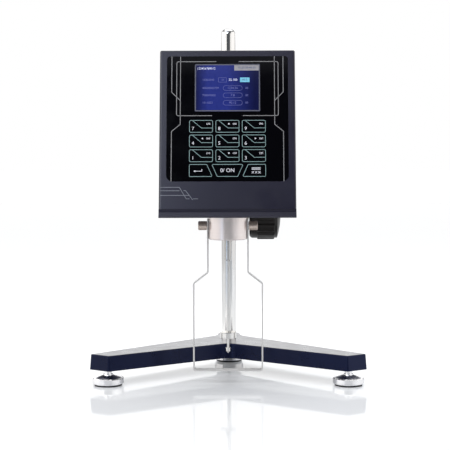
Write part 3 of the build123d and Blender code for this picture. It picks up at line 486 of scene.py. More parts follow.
def circle(u, v, radius, count, start=0.0):
    """Corners of a regular polygon round (u, v)."""
    turns = [start + k * 2 * pi / count for k in range(count)]
    return [(u + radius * cos(turn), v + radius * sin(turn)) for turn in turns]


def lettering(name, face, text, size, u, v, thickness, align="CENTER"):
    """Solid generic characters lying on a face, as one mesh."""
    curve = bpy.data.curves.new(name, "FONT")
    curve.body, curve.size = text, size
    curve.align_x, curve.align_y = align, "CENTER"
    curve.extrude = thickness / 2
    curve.resolution_u = 4
    holder = placed(name, curve)
    graph = bpy.context.evaluated_depsgraph_get()
    mesh = bpy.data.meshes.new_from_object(holder.evaluated_get(graph), depsgraph=graph)
    bpy.data.objects.remove(holder)
    place = Matrix.Translation(face.point(u, v, thickness / 2))
    turn = Matrix((face.across, face.up, face.normal)).transposed().to_4x4()
    mesh.transform(place @ turn)
    return mesh


def joined(name, meshes):
    """One mesh from several, which are removed."""
    whole = bmesh.new()
    for mesh in meshes:
        whole.from_mesh(mesh)
    bmesh.ops.remove_doubles(whole, verts=whole.verts, dist=WELD)
    result = meshed(name, whole)
    for mesh in meshes:
        bpy.data.meshes.remove(mesh)
    return result


class Growth:
    """Geometry Nodes tree with named sizes, baked to one plain closed piece."""

    def __init__(self, name, material, **sizes):
        self.name, self.material = name, material
        self.tree = bpy.data.node_groups.new(name, "GeometryNodeTree")
        self.values = {}
        kinds = {int: "NodeSocketInt", float: "NodeSocketFloat", tuple: "NodeSocketVector"}
        for title, value in sizes.items():
            socket = self.tree.interface.new_socket(title, in_out="INPUT", socket_type=kinds[type(value)])
            self.values[socket.identifier] = value
        self.tree.interface.new_socket("Geometry", in_out="OUTPUT", socket_type="NodeSocketGeometry")
        self.sizes = self.tree.nodes.new("NodeGroupInput").outputs

    def add(self, kind, **inputs):
        """New node; each input takes a value or another node's output."""
        node = self.tree.nodes.new(kind)
        for title, value in inputs.items():
            self.feed(node.inputs[title.replace("_", " ")], value)
        return node.outputs[0]

    def feed(self, socket, value):
        if isinstance(value, bpy.types.NodeSocket):
            self.tree.links.new(value, socket)
        else:
            socket.default_value = value

    def times(self, one, other):
        node = self.tree.nodes.new("ShaderNodeMath")
        node.operation = "MULTIPLY"
        self.feed(node.inputs[0], one)
        self.feed(node.inputs[1], other)
        return node.outputs[0]

    def vector(self, x=0.0, y=0.0, z=0.0):
        return self.add("ShaderNodeCombineXYZ", X=x, Y=y, Z=z)

    def bar(self, x, y, z):
        return self.add("GeometryNodeMeshCube", Size=self.vector(x, y, z))

    def moved(self, geometry, offset, rotation=(0.0, 0.0, 0.0)):
        return self.add("GeometryNodeTransform", Geometry=geometry, Translation=offset, Rotation=rotation)

    def joined(self, *parts):
        node = self.tree.nodes.new("GeometryNodeJoinGeometry")
        for part in parts:
            self.tree.links.new(part, node.inputs[0])
        return node.outputs[0]

    def bake(self, geometry, body):
        whole = self.add("GeometryNodeRealizeInstances", Geometry=geometry)
        done = self.add("GeometryNodeSetMaterial", Geometry=whole, Material=self.material)
        self.tree.links.new(done, self.tree.nodes.new("NodeGroupOutput").inputs[0])
        holder = placed(self.name, bpy.data.meshes.new(self.name))
        modifier = holder.modifiers.new(self.name, "NODES")
        modifier.node_group = self.tree
        for identifier, value in self.values.items():
            modifier[identifier] = value
        graph = bpy.context.evaluated_depsgraph_get()
        mesh = bpy.data.meshes.new_from_object(holder.evaluated_get(graph), depsgraph=graph)
        holder.modifiers.remove(modifier)
        bpy.data.objects.remove(holder)
        bpy.data.node_groups.remove(self.tree)
        outward = bmesh.new()
        outward.from_mesh(mesh)
        bmesh.ops.recalc_face_normals(outward, faces=outward.faces)
        outward.to_mesh(mesh)
        outward.free()
        return new_piece(self.name, mesh, self.material, body)


# ------------------------------------------------------------------ stage
class VISCO_OT_stage(Operator):
    """Pale floor, soft studio light and the camera"""

    bl_idname = "visco.stage"
    bl_label = "Stage"

    def execute(self, context):
        setup = context.scene.visco_stage
        scene = context.scene
        scene.view_settings.view_transform = "Standard"
        self.world(scene)
        self.floor()
        self.lamps()
        self.cards()
        low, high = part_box("spindle")
        axis_y = (low[1] + high[1]) / 2
        camera = placed("camera", bpy.data.cameras.new("camera"))
        camera.data.lens = setup.lens
        camera.data.sensor_width = 36
        camera.location = (setup.aside, axis_y - setup.distance, setup.height)
        level = Matrix.Rotation(setup.turn, 3, "Z") @ Matrix.Rotation(pi / 2 - setup.pitch, 3, "X")
        camera.rotation_euler = (level @ Matrix.Rotation(setup.roll, 3, "Z")).to_euler()
        scene.camera = camera
        return {"FINISHED"}

    def world(self, scene):
        """White where the camera looks, dim to reflections, even to diffuse light."""
        world = bpy.data.worlds.new("studio")
        scene.world = world
        world.use_nodes = True
        nodes, links = world.node_tree.nodes, world.node_tree.links

        def shining(node, colour, strength):
            node.inputs["Color"].default_value = (*colour, 1)
            node.inputs["Strength"].default_value = strength
            return node.outputs[0]

        def mixed(factor, one, other):
            mix = nodes.new("ShaderNodeMixShader")
            links.new(factor, mix.inputs["Fac"])
            links.new(one, mix.inputs[1])
            links.new(other, mix.inputs[2])
            return mix.outputs[0]

        lit = shining(nodes["Background"], (1, 1, 1), 0.72)
        white = shining(nodes.new("ShaderNodeBackground"), (1, 1, 1), 1.0)
        room = shining(nodes.new("ShaderNodeBackground"), (0.9, 0.95, 1), 0.1)
        rays = nodes.new("ShaderNodeLightPath")
        straight = nodes.new("ShaderNodeMath")
        straight.operation = "MAXIMUM"
        links.new(rays.outputs["Is Camera Ray"], straight.inputs[0])
        links.new(rays.outputs["Is Transmission Ray"], straight.inputs[1])
        seen = mixed(straight.outputs[0], lit, white)
        result = mixed(rays.outputs["Is Glossy Ray"], seen, room)
        links.new(result, nodes["World Output"].inputs["Surface"])

    def floor(self):
        """Pale glossy disc that adds a little light of its own for the camera."""
        own_light = 0.10
        disc = bmesh.new()
        bmesh.ops.create_circle(disc, cap_ends=True, segments=96, radius=11.5)
        mesh = meshed("floor", disc)
        floor = placed("floor", mesh)
        finish = Finish("pale_floor", (0.86, 0.87, 0.885), 0.06)
        finish.set(Specular_IOR_Level=0.3)
        glow = finish.nodes.new("ShaderNodeEmission")
        rays = finish.nodes.new("ShaderNodeLightPath")
        lift = finish.nodes.new("ShaderNodeMath")
        lift.operation = "MULTIPLY"
        lift.inputs[1].default_value = own_light
        finish.links.new(rays.outputs["Is Camera Ray"], lift.inputs[0])
        finish.links.new(lift.outputs[0], glow.inputs["Strength"])
        both = finish.nodes.new("ShaderNodeAddShader")
        finish.links.new(finish.shader.outputs[0], both.inputs[0])
        finish.links.new(glow.outputs[0], both.inputs[1])
        finish.links.new(both.outputs[0], finish.nodes["Material Output"].inputs["Surface"])
        mesh.materials.append(finish.material)
        floor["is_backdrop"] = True

    def lamps(self):
        """Three soft lamps: each has a place from the middle, a size, a power and a colour."""
        low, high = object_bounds()
        centre = (Vector(low) + Vector(high)) / 2
        plan = (
            ("key", (-1.3, -1.1, 1.2), 1.1, 11, (1, 1, 1)),
            ("fill", (1.5, -0.7, 0.5), 1.0, 7, (0.72, 0.84, 1)),
            ("top", (0.1, 0.5, 1.7), 1.6, 12, (1, 1, 1)),
        )
        for name, away, size, power, colour in plan:
            lamp = bpy.data.lights.new(name, "AREA")
            lamp.color = colour
            lamp.shape, lamp.size, lamp.energy = "SQUARE", size, power
            holder = placed(name, lamp)
            holder.location = centre + Vector(away)
            holder.rotation_euler = (-Vector(away)).to_track_quat("-Z", "Y").to_euler()

    def cards(self):
        """Lightboxes: each has a corner, two sides, a strength and a colour."""
        cards = (
            ("left_box", (-1.1, -1.05, 0.12), (0, 2.1, 0), (0, 0, 1.1), 1.4, (1, 0.98, 0.96)),
            ("right_box", (1.1, -1.05, 0.12), (0, 2.1, 0), (0, 0, 1.1), 1.08, (1, 0.98, 0.96)),
            ("left_wing", (-1.1, -1.2, 0.12), (0.45, 0, 0), (0, 0, 0.45), 1.35, (1, 0.98, 0.96)),
            ("right_wing", (0.72, -1.2, 0.12), (0.38, 0, 0), (0, 0, 0.45), 1.1, (1, 0.98, 0.96)),
            ("left_low", (-1.1, -0.6, 0), (0, 1.65, 0), (0, 0, 0.12), 0.62, (1, 1, 1)),
            ("right_low", (1.1, -0.65, 0), (0, 1.7, 0), (0, 0, 0.12), 0.8, (1, 1, 1)),
            ("left_glint", (-1.1, -1.2, 0), (0.45, 0, 0), (0, 0, 0.12), 1.3, (0.45, 0.66, 1)),
            ("high_box", (-1.5, -1.1, 0.6), (1.33, 0, 0), (0, 0, 1.1), 4.4, (0.80, 0.88, 1)),
            ("crown_box", (-0.9, -1.1, 0.98), (1.1, 0, 0), (0, 0, 0.7), 1.3, (0.9, 0.92, 1)),
            ("backdrop", (-7, 12, -0.5), (14, 0, 0), (0, 0, 7), 1.0, (1, 1, 1)),
            ("back_light", (-6, 11.9, 1.5), (12, 0, 0), (0, 0, 0.95), 1.6, (1, 1, 1)),
            ("ceiling", (-2, -0.6, 2.4), (4, 0, 0), (0, 2, 0), 0.8, (1, 1, 1)),
        )
        for name, corner, across, up, strength, colour in cards:
            self.card(name, Vector(corner), Vector(across), Vector(up), strength, colour)

    def card(self, name, corner, across, up, strength, colour):
        """Lit sheet that only reflections see."""
        sheet = bmesh.new()
        corners = (corner, corner + across, corner + across + up, corner + up)
        sheet.faces.new([sheet.verts.new(place) for place in corners])
        mesh = meshed(name, sheet)
        holder = placed(name, mesh)
        finish = Finish(name, (0, 0, 0), 1.0)
        finish.set(Emission_Color=(*colour, 1), Emission_Strength=strength, Specular_IOR_Level=0.0)
        mesh.materials.append(finish.material)
        holder.visible_camera = False
        holder.visible_diffuse = False
        holder.visible_shadow = False
        holder.visible_transmission = False
        holder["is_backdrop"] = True


# ------------------------------------------------------------------ finishes of the CAD nodes
class VISCO_OT_finishes(Operator):
    """Paint, metal, rubber and plastic on every built part"""

    bl_idname = "visco.finishes"
    bl_label = "Finishes"

    def execute(self, context):
        colours = context.scene.visco_colours
        chrome = polished("chrome_plate", (0.92, 0.915, 0.905), 0.06)
        bright = polished("bright_foot", (0.97, 0.965, 0.98), 0.2)
        around_z = (3, 3, 2200)
        around_x = (2200, 3, 3)
        steel = turned("turned_steel", (0.56, 0.56, 0.58), 0.26, around_z)
        shaft = polished("polished_steel", (0.80, 0.79, 0.77), 0.13)
        satin = turned("satin_aluminium", (0.88, 0.805, 0.785), 0.3, (3, 3, 1500), 0.0001 * MM, spread=0.015)
        knurled = turned("knurled_aluminium", (0.60, 0.51, 0.45), 0.32, around_x, metallic=0.7)
        strip = turned("guard_strip", (0.66, 0.645, 0.635), 0.36, (900, 900, 3), metallic=0.2)
        head = painted("head_paint", tuple(colours.head), 0.36, 0.35, index=1.45)
        base = painted("base_paint", tuple(colours.base), 0.3, 1.0, index=1.23, flake=0.6)
        casting = painted("bracket_paint", (0.02, 0.021, 0.03), 0.42, 0.1, 0.03 * MM)
        knob = moulded("knob_plastic", (0.006, 0.0042, 0.003), 0.42, index=1.35)
        cap = moulded("knob_cap_plastic", (0.016, 0.014, 0.012), 0.36, index=1.4)
        rubber = moulded("foot_rubber", (0.012, 0.012, 0.012), 0.7, 900, 0.05 * MM)
        film = glossy_film("panel_film", tuple(colours.film))
        key_film = glossy_film("key_film", tuple(colours.film), 0.12)
        screen = lit_screen("lit_display", tuple(colours.screen))
        bronze = turned("sintered_bronze", (0.62, 0.45, 0.24), 0.4, around_z)
        board = moulded("circuit_board", (0.01, 0.10, 0.045), 0.4, 300)
        plastic = moulded("fitting_plastic", (0.018, 0.018, 0.02), 0.42)
        fluid = Finish("vial_fluid", (0.55, 0.72, 0.12), 0.05)
        fluid.vary_colour(fluid.noise(60), 0.9, 1.1)
        groups = (
            (chrome, ["mast"]),
            (bright, ["foot_screw_left", "foot_screw_right", "foot_screw_rear"]),
            (steel, [
                "mast_nut", "case_screws", "bracket_screws", "tension_screw", "pinion", "pivot_shaft",
                "pillars", "motor_plate", "drive_motor", "drive_shaft", "data_port",
            ]),
            (shaft, ["spindle_coupling", "spindle"]),
            (strip, ["guard_leg"]),
            (satin, ["collar", "torque_dial", "level_body", "bearing_plate"]),
            (knurled, ["thumbscrew_left", "thumbscrew_right"]),
            (head, ["head_housing", "bottom_tray", "rear_cover"]),
            (base, ["base_casting"]),
            (casting, ["clamp_block"]),
            (knob, ["lift_knob"]),
            (cap, ["knob_cap"]),
            (rubber, ["foot_ring_left", "foot_ring_right", "foot_ring_rear"]),
            (film, ["membrane_panel"]),
            (key_film, KEY_NODES),
            (screen, ["display_lens"]),
            (bronze, ["guide_bushes", "pinion_bush", "jewel_bearing", "hairspring"]),
            (board, ["main_board", "power_board"]),
            (plastic, ["display_module", "power_inlet", "switch_frame", "power_rocker", "probe_socket"]),
            (fluid.material, ["level_vial"]),
        )
        done = set()
        for material, nodes in groups:
            for node in nodes:
                dress(node, material)
                done.add(node)
        left = set(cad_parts) - done
        if left:
            raise RuntimeError("parts without a finish: " + ", ".join(sorted(left)))
        return {"FINISHED"}


# ------------------------------------------------------------------ prints
class VISCO_OT_panel_print(Operator):
    """Grey pinstripes and the line round the screen"""

    bl_idname = "visco.panel_print"
    bl_label = "Panel print"

    def execute(self, context):
        sizes = context.scene.visco_print
        colours = context.scene.visco_colours
        face = Face("membrane_panel")
        top = face.high_v - face.low_v
        outer, inner = 61.6 * MM, 52.0 * MM
        upper_bend, upper_join = 100.8 * MM, 91.0 * MM
        lower_bend, lower_join = 64.1 * MM, 56.0 * MM
        shapes = []
        for side in (-1, 1):
            shapes += ribbon(
                [(side * outer, top), (side * outer, upper_bend), (side * inner, upper_join)], sizes.stripe
            )
            shapes += ribbon(
                [
                    (side * inner, top), (side * inner, lower_bend), (side * outer, lower_join),
                    (side * outer, 0),
                ],
                sizes.stripe,
            )
            shapes += self.half_frame(side, sizes.stripe)
        lens = Face("display_lens")
        centre_v = (lens.low_v + lens.high_v) / 2 - face.low_v
        half = sizes.screen_frame / 2
        width, height = lens.high_u - lens.low_u - 2 * half, lens.high_v - lens.low_v - 2 * half
        corner_radius = 0.8 * MM
        edge = rounded(rectangle(0, centre_v, width, height), corner_radius)
        line = ribbon(edge, sizes.screen_frame, closed=True)
        line = ink_mesh("screen_frame", face, line, sizes.lift)
        new_piece("screen_frame", line, ink("screen_frame_ink", (0.085, 0.088, 0.125)), BODY)
        mesh = ink_mesh("panel_print", face, shapes, sizes.lift)
        grey = ink("pinstripe_ink", tuple(colours.stripe))
        new_piece("panel_print", mesh, grey, BODY)
        self.flashes(sizes, ink("flash_ink", (0.17, 0.18, 0.22)))
        return {"FINISHED"}

    def flashes(self, sizes, pale):
        """Pinstripes low on the head's left, which bend down where a badge would start."""
        face = Face("head_housing")
        row = 24.3
        stripes = (
            ((-73.0, 0), (-52.5, 0), (-44.8, -12.8), (-41.3, -12.8)),
            ((-73.0, -3.8), (-52.2, -3.8)),
            ((-47.8, -3.6), (-45.7, -3.6), (-37.8, -14.0)),
            ((-73.0, -9.0), (-41.8, -9.0)),
            ((-37.4, -12.8), (-32.0, -12.8)),
        )
        width = sizes.stripe * 0.8
        shapes = []
        for stripe in stripes:
            shapes += ribbon([(u * MM, (row + v) * MM) for u, v in stripe], width)
        mesh = ink_mesh("head_flashes", face, shapes, sizes.lift)
        new_piece("head_flashes", mesh, pale, BODY)

    def half_frame(self, side, width):
        """One side of the rounded line round the screen, open where a badge would sit."""
        reach, low, high, radius = 56.1 * MM, 73.9 * MM, 135.8 * MM, 2.0 * MM
        top_gap, low_gap = 12.5 * MM, 17.0 * MM
        corner_steps = 4
        turns = [step / corner_steps * pi / 2 for step in range(corner_steps + 1)]
        arc = [(reach - radius + radius * sin(turn), radius - radius * cos(turn)) for turn in turns]
        path = [(side * top_gap, high)]
        path += [(side * u, high - drop) for u, drop in arc]
        path += [(side * u, low + drop) for u, drop in reversed(arc)]
        path.append((side * low_gap, low))
        return ribbon(path, width)


class VISCO_OT_key_prints(Operator):
    """Outlines, digits and marks on the membrane keys"""

    bl_idname = "visco.key_prints"
    bl_label = "Key prints"

    arrows = {"8": 90, "4": 180, "6": 0, "2": 270}

    def execute(self, context):
        sizes = context.scene.visco_print
        colours = context.scene.visco_colours
        # The key lines and digits are printed ink that also glows a little: painted light, as the keypad has
        # no light of its own.
        glowing_line_ink = ink("key_line_ink", tuple(colours.key_ink), 0.1)
        glowing_pale_ink = ink("key_digit_ink", (0.72, 0.72, 0.78), 0.12)
        for node in KEY_NODES:
            face = Face(node)
            width, height = face.high_u - face.low_u, face.high_v - face.low_v
            centre_u, centre_v = (face.low_u + face.high_u) / 2, height / 2
            lines, marks, meshes = [], [], []
            inset = sizes.key_line * 0.75
            name = node.replace("key_", "")
            lines += ribbon(self.outline(name, face, inset), sizes.key_line, closed=True)
            if name.isdigit():
                left, shelf = face.low_u, centre_v - 1.9 * MM
                bend = [(left + 3.6 * MM, height - inset), (left + 13.6 * MM, shelf)]
                lines += ribbon(bend + [(face.high_u - inset, shelf)], sizes.key_line)
                meshes.append(lettering(
                    "digit", face, name, sizes.digit_size, left + 4.3 * MM, centre_v - 2.6 * MM, sizes.lift
                ))
                meshes.append(lettering(
                    "mark", face, "0" + name + "0", sizes.mark_size, face.high_u - 5.2 * MM,
                    centre_v + 2.7 * MM, sizes.lift,
                ))
                if name in self.arrows:
                    marks.append(self.arrow(
                        centre_u + 1.6 * MM, centre_v + 2.8 * MM, 1.3 * MM, self.arrows[name]
                    ))
            elif name == "zero":
                meshes.append(lettering(
                    "digit", face, "0/ ON", sizes.digit_size * 1.1, centre_u, centre_v, sizes.lift
                ))
            elif name == "enter":
                marks += self.enter_mark(centre_u - 3.2 * MM, centre_v)
            else:
                marks += self.list_mark(centre_u + 2.4 * MM, centre_v)
            if marks:
                meshes.append(ink_mesh("marks", face, marks, sizes.lift))
            outline = ink_mesh("lines", face, lines, sizes.lift)
            body = node + "_cap"
            new_piece("lines_" + name, outline, glowing_line_ink, body)
            new_piece("marks_" + name, joined("marks_" + name, meshes), glowing_pale_ink, body)
        return {"FINISHED"}

    def outline(self, name, face, inset):
        """Rounded outline of a key; those of the lowest row have slanted sides."""
        height = face.high_v - face.low_v
        left, right = face.low_u + inset, face.high_u - inset
        low, high = inset, height - inset
        slant = 6.0 * MM
        corners = [(left, low), (right, low), (right, high), (left, high)]
        radius = 1.6 * MM if name.isdigit() else 1.0 * MM
        if name == "zero":
            corners = [(left + slant, low), (right - slant, low), (right, high), (left, high)]
        elif name == "enter":
            corners = [(left, low), (right - inset, low), (right - slant - inset, high), (left, high)]
        elif name == "clear":
            corners = [(left + inset, low), (right, low), (right, high), (left + slant + inset, high)]
        return rounded(corners, radius)

    def arrow(self, u, v, size, degrees_round):
        """Filled triangle that points the given way."""
        return circle(u, v, size, 3, radians(degrees_round))

    def enter_mark(self, u, v):
        """Bent return arrow."""
        reach, line, low = 4.2 * MM, 0.55 * MM, v - 0.8 * MM
        shaft = ribbon([(u + reach, v + 1.6 * MM), (u + reach, low), (u - reach * 0.6, low)], line)
        return shaft + [self.arrow(u - reach * 0.85, low, 1.3 * MM, 180)]

    def list_mark(self, u, v):
        """Three bars over three crosses."""
        line, reach, spacing = 0.45 * MM, 1.2 * MM, 3.6 * MM
        bars = [rectangle(u, v + row * 1.1 * MM + 0.9 * MM, 9.6 * MM, line) for row in range(3)]
        crosses = []
        low = v - 2.2 * MM
        for middle in (u - spacing, u, u + spacing):
            for side in (-1, 1):
                ends = [(middle - reach, low - side * reach), (middle + reach, low + side * reach)]
                crosses += ribbon(ends, line)
        return bars + crosses


class VISCO_OT_screen(Operator):
    """Readings on the lit display: bars, boxes and plain digits"""

    bl_idname = "visco.screen"
    bl_label = "Screen readings"

    def execute(self, context):
        thickness = context.scene.visco_print.lift
        face = Face("display_lens")
        pale = ink("screen_white", (0.62, 0.64, 0.85), 0.4)
        dim = ink("screen_dim", (0.08, 0.09, 0.27), 0.4)
        cyan = ink("screen_cyan", (0.11, 0.37, 0.50), 0.5)
        tab = ink("screen_tab", (0.26, 0.25, 0.27), 0.2)
        row_v = [35.9 * MM, 26.5 * MM, 18.2 * MM, 9.7 * MM]
        line = 0.3 * MM

        def text(body, size, u, v, align="LEFT"):
            return lettering("reading", face, body, size * MM, u * MM, v, thickness, align)

        bright = [text("123456789012", 3.4, -33.6, 48.9 * MM), text("25.100", 3.6, 1.3, row_v[0])]
        faint = []
        for row, words in enumerate(("10203040", "40050060709", "708009002", "1011023")):
            faint.append(text(words, 3.3, -27.8, row_v[row]))
        for row, value in zip((1, 2, 3), ("1234.56", "7.8", "90.12")):
            faint.append(text(value, 3.6, 5.8, row_v[row], "CENTER"))
            faint.append(text("00", 3.2, 21.4, row_v[row], "CENTER"))
            pill = rectangle(5.9 * MM, row_v[row], 21.0 * MM, 5.4 * MM)
            lines = ribbon(rounded(pill, 2.6 * MM, 6), line, closed=True)
            faint.append(ink_mesh("pill", face, lines, thickness))
        box = rounded(rectangle(-5.6 * MM, row_v[0], 8.8 * MM, 5.2 * MM), 0.6 * MM)
        faint.append(ink_mesh("box", face, ribbon(box, line, closed=True), thickness))
        faint.append(text("123", 2.6, -5.6, row_v[0], "CENTER"))
        patch = rounded(rectangle(19.2 * MM, row_v[0], 10.6 * MM, 5.3 * MM), 0.4 * MM)
        lit = ink_mesh("lit_box", face, [patch], thickness)
        flap = ink_mesh("flap", face, [rectangle(21.3 * MM, 49.9 * MM, 27.4 * MM, 6.6 * MM)], thickness)
        new_piece("screen_title", joined("screen_title", bright), pale, BODY)
        new_piece("screen_values", joined("screen_values", faint), dim, BODY)
        new_piece("screen_highlight", lit, cyan, BODY)
        new_piece("screen_tab", flap, tab, BODY)
        shadow = ink("screen_shadow", (0.03, 0.06, 0.16), 0.1)
        marks = [
            self.above(text("40.5", 3.4, 19.2, row_v[0], "CENTER"), face, thickness),
            self.above(text("10:20:30:40:50", 3.4, 21.3, 49.9 * MM, "CENTER"), face, thickness),
        ]
        new_piece("screen_shadows", joined("screen_shadows", marks), shadow, BODY)
        return {"FINISHED"}

    def above(self, mesh, face, thickness):
        """Lifts a print onto the one below it."""
        mesh.transform(Matrix.Translation(face.normal * thickness))
        return mesh


# ------------------------------------------------------------------ small parts
class VISCO_OT_details(Operator):
    """Knurls, foot threads, painted shade for the screw recesses and port pin holes, switch marks and the
    level's bubble
    """

    bl_idname = "visco.details"
    bl_label = "Small parts"

    def execute(self, context):
        sizes = context.scene.visco_details
        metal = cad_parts["thumbscrew_left"].data.materials[0]
        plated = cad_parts["foot_screw_left"].data.materials[0]
        # Near black: painted shade for the screw recesses and the port's pin holes, and the real ink of the
        # level's centring ring.
        dark = ink("recess_shade_and_ring_ink", (0.008, 0.008, 0.009))
        white = ink("switch_white", (0.75, 0.75, 0.75))
        for side in ("left", "right"):
            self.knurl(sizes, side, metal)
        for foot in ("left", "right", "rear"):
            self.thread(sizes, foot, plated)
        low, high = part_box("case_screws")
        inset, under_inset = 2.8 * MM, 5.8 * MM
        rear_low_row, under_back_row = 211 * MM, 11 * MM
        across, rise = high[0] - inset, (high[2] - rear_low_row - inset) / 2
        self.recesses(
            sizes, "rear_recess_shade", (0.0, high[1], rear_low_row + rise), (2 * across, 2 * rise), pi / 2, dark
        )
        across, reach = high[0] - under_inset, (under_back_row - low[1] - inset) / 2
        self.recesses(
            sizes, "under_recess_shade", (0.0, low[1] + inset + reach, low[2]), (2 * across, 2 * reach), 0.0, dark
        )
        self.pins(sizes, dark)
        self.switch_marks(context.scene.visco_print.lift, white)
        self.bubble(context.scene.visco_print.lift, dark)
        return {"FINISHED"}

    def knurl(self, sizes, side, metal):
        """Ridges round the head of a thumbscrew."""
        low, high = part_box("thumbscrew_" + side)
        outer = low[0] if side == "left" else high[0]
        inward = 1 if side == "left" else -1
        margin, length = 1.0 * MM, sizes.knurl_length
        middle = outer + inward * (margin + length / 2)
        growth = Growth(
            "knurl_" + side, metal, Count=sizes.knurl_count, Length=length, Width=sizes.knurl_width,
            Depth=2 * sizes.knurl_rise, Radius=(high[2] - low[2]) / 2,
            Centre=(middle, (low[1] + high[1]) / 2, (low[2] + high[2]) / 2),
        )
        given = growth.sizes
        bar = growth.bar(given["Length"], given["Width"], given["Depth"])
        bar = growth.moved(bar, growth.vector(z=given["Radius"]))
        share = growth.tree.nodes.new("ShaderNodeMath")
        share.operation = "DIVIDE"
        share.inputs[0].default_value = 2 * pi
        growth.feed(share.inputs[1], given["Count"])
        turn = growth.times(growth.add("GeometryNodeInputIndex"), share.outputs[0])
        rotation = growth.add("FunctionNodeEulerToRotation", Euler=growth.vector(x=turn))
        points = growth.add("GeometryNodePoints", Count=given["Count"])
        ridges = growth.add("GeometryNodeInstanceOnPoints", Points=points, Instance=bar, Rotation=rotation)
        growth.bake(growth.moved(ridges, given["Centre"]), "screw_" + side)

    def thread(self, sizes, foot, plated):
        """Helical thread along a foot's stem."""
        low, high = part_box("foot_screw_" + foot)
        start, run_out = 14.0 * MM, 1.0 * MM
        length = high[2] - run_out - start
        growth = Growth(
            "thread_" + foot, plated, Turns=length / sizes.thread_pitch, Length=length,
            Radius=sizes.stem_radius + sizes.thread_rise - sizes.thread_size, Crest=sizes.thread_size,
            Foot=((low[0] + high[0]) / 2, (low[1] + high[1]) / 2, start),
        )
        given = growth.sizes
        helix = growth.add(
            "GeometryNodeCurveSpiral", Resolution=28, Rotations=given["Turns"], Start_Radius=given["Radius"],
            End_Radius=given["Radius"], Height=given["Length"],
        )
        profile = growth.add("GeometryNodeCurvePrimitiveCircle", Resolution=4, Radius=given["Crest"])
        coil = growth.add("GeometryNodeCurveToMesh", Curve=helix, Profile_Curve=profile, Fill_Caps=True)
        growth.bake(growth.moved(coil, given["Foot"]), "foot_turner_" + foot)

    def recesses(self, sizes, name, middle, spread, tilt, dark):
        """Dark crosses on four screw heads, painted shade that stands in for their cross recesses."""
        growth = Growth(
            name, dark, Spread_X=spread[0], Spread_Y=spread[1], Reach=sizes.recess_reach,
            Slot=sizes.recess_slot, Thickness=sizes.recess_rise * 2, Middle=middle, Tilt=(tilt, 0.0, 0.0),
        )
        given = growth.sizes
        corners = growth.add(
            "GeometryNodeMeshGrid", Size_X=given["Spread_X"], Size_Y=given["Spread_Y"], Vertices_X=2,
            Vertices_Y=2,
        )
        cross = growth.joined(
            growth.bar(given["Reach"], given["Slot"], given["Thickness"]),
            growth.bar(given["Slot"], given["Reach"], given["Thickness"]),
        )
        marks = growth.add("GeometryNodeInstanceOnPoints", Points=corners, Instance=cross)
        growth.bake(growth.moved(marks, given["Middle"], given["Tilt"]), BODY)

    def pins(self, sizes, dark):
        """Two rows of dark discs on the data port, painted shade that stands in for its socket holes."""
        face = Face("data_port", (0, 1, 0))
        middle_u, middle_v = (face.low_u + face.high_u) / 2, (face.high_v - face.low_v) / 2
        growth = Growth(
            "port_hole_shade", dark, Pitch=sizes.pin_pitch, Radius=sizes.pin_radius,
            Thickness=sizes.recess_rise * 2,
            Upper=tuple(face.point(middle_u + 2 * sizes.pin_pitch, middle_v + sizes.pin_pitch / 2)),
            Lower=tuple(face.point(middle_u + 1.5 * sizes.pin_pitch, middle_v - sizes.pin_pitch / 2)),
        )
        given = growth.sizes
        step = growth.vector(x=given["Pitch"])
        rows = [
            growth.add("GeometryNodeMeshLine", Count=count, Start_Location=given[row], Offset=step)
            for count, row in ((5, "Upper"), (4, "Lower"))
        ]
        hole = growth.add(
            "GeometryNodeMeshCylinder", Vertices=14, Radius=given["Radius"], Depth=given["Thickness"]
        )
        hole = growth.moved(hole, (0.0, 0.0, 0.0), (pi / 2, 0.0, 0.0))
        holes = growth.add("GeometryNodeInstanceOnPoints", Points=growth.joined(*rows), Instance=hole)
        growth.bake(holes, BODY)

    def switch_marks(self, lift, white):
        """Bar and ring on the two halves of the rocker."""
        pivot_height, ring_height, line = 265 * MM, 3.4 * MM, 0.5 * MM
        upper = Face("power_rocker", (0, 1, 0), lowest=pivot_height)
        lower = Face("power_rocker", (0, 1, 0))
        middle_u = (upper.low_u + upper.high_u) / 2
        reach = 1.5 * MM
        ring = circle(middle_u, ring_height, reach, 24)
        bar = rectangle(middle_u, (upper.high_v - upper.low_v) / 2, line, 2 * reach)
        marks = joined("switch_marks", [
            ink_mesh("bar", upper, [bar], lift),
            ink_mesh("ring", lower, ribbon(ring, line, closed=True), lift),
        ])
        new_piece("switch_marks", marks, white, "rocker")

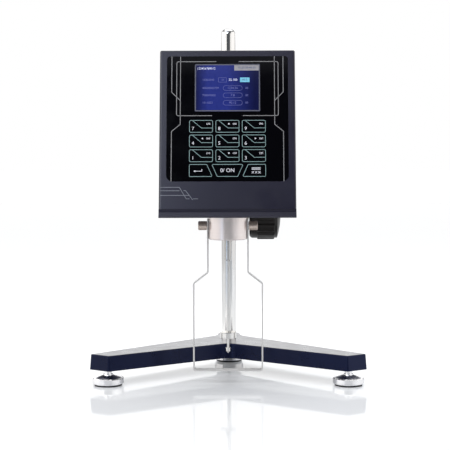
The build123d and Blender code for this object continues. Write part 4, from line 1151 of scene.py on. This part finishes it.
    def bubble(self, lift, dark):
        """Centring ring and bubble of the round level."""
        face = Face("level_vial", (0, 0, 1))
        middle_u, middle_v = (face.low_u + face.high_u) / 2, (face.high_v - face.low_v) / 2
        ring_radius, line = 3.1 * MM, 0.35 * MM
        bubble_radius, bubble_rise = 2.3 * MM, 0.25 * MM
        rim = circle(middle_u, middle_v, ring_radius, 32)
        ring = ink_mesh("level_ring", face, ribbon(rim, line, closed=True), lift)
        new_piece("level_ring", ring, dark, BODY)
        pale = Finish("bubble", (0.82, 0.88, 0.55), 0.04)
        pale.vary_colour(pale.noise(200), 0.95, 1.05)
        dome = bmesh.new()
        flat = Matrix.Diagonal((bubble_radius, bubble_radius, bubble_rise, 1))
        place = Matrix.Translation(face.point(middle_u, middle_v))
        bmesh.ops.create_uvsphere(dome, u_segments=24, v_segments=10, radius=1, matrix=place @ flat)
        new_piece("level_bubble", meshed("level_bubble", dome), pale.material, BODY)


# ------------------------------------------------------------------ sidebar
class VISCO_PT_sidebar(Panel):
    """Lists the steps that dress the instrument"""

    bl_idname = "VISCO_PT_sidebar"
    bl_label = "Viscometer"
    bl_space_type = "VIEW_3D"
    bl_region_type = "UI"
    bl_category = "Viscometer"

    def draw(self, context):
        for operator in OPERATORS:
            self.layout.operator(operator.bl_idname)
        for group in GROUPS:
            settings = getattr(context.scene, group)
            for prop in settings.bl_rna.properties:
                if prop.identifier not in ("rna_type", "name"):
                    self.layout.prop(settings, prop.identifier)


GROUPS = {
    "visco_print": VISCO_PG_print,
    "visco_details": VISCO_PG_details,
    "visco_colours": VISCO_PG_colours,
    "visco_stage": VISCO_PG_stage,
}
OPERATORS = (
    VISCO_OT_stage, VISCO_OT_finishes, VISCO_OT_panel_print, VISCO_OT_key_prints, VISCO_OT_screen,
    VISCO_OT_details,
)


def register():
    for cls in (*GROUPS.values(), *OPERATORS, VISCO_PT_sidebar):
        bpy.utils.register_class(cls)
    for name, group in GROUPS.items():
        setattr(bpy.types.Scene, name, PointerProperty(type=group))


def unregister():
    for name in GROUPS:
        delattr(bpy.types.Scene, name)
    for cls in reversed((*GROUPS.values(), *OPERATORS, VISCO_PT_sidebar)):
        bpy.utils.unregister_class(cls)


def main():
    register()
    for operator in OPERATORS:
        family, action = operator.bl_idname.split(".")
        getattr(getattr(bpy.ops, family), action)()


if __name__ == "__main__":
    main()
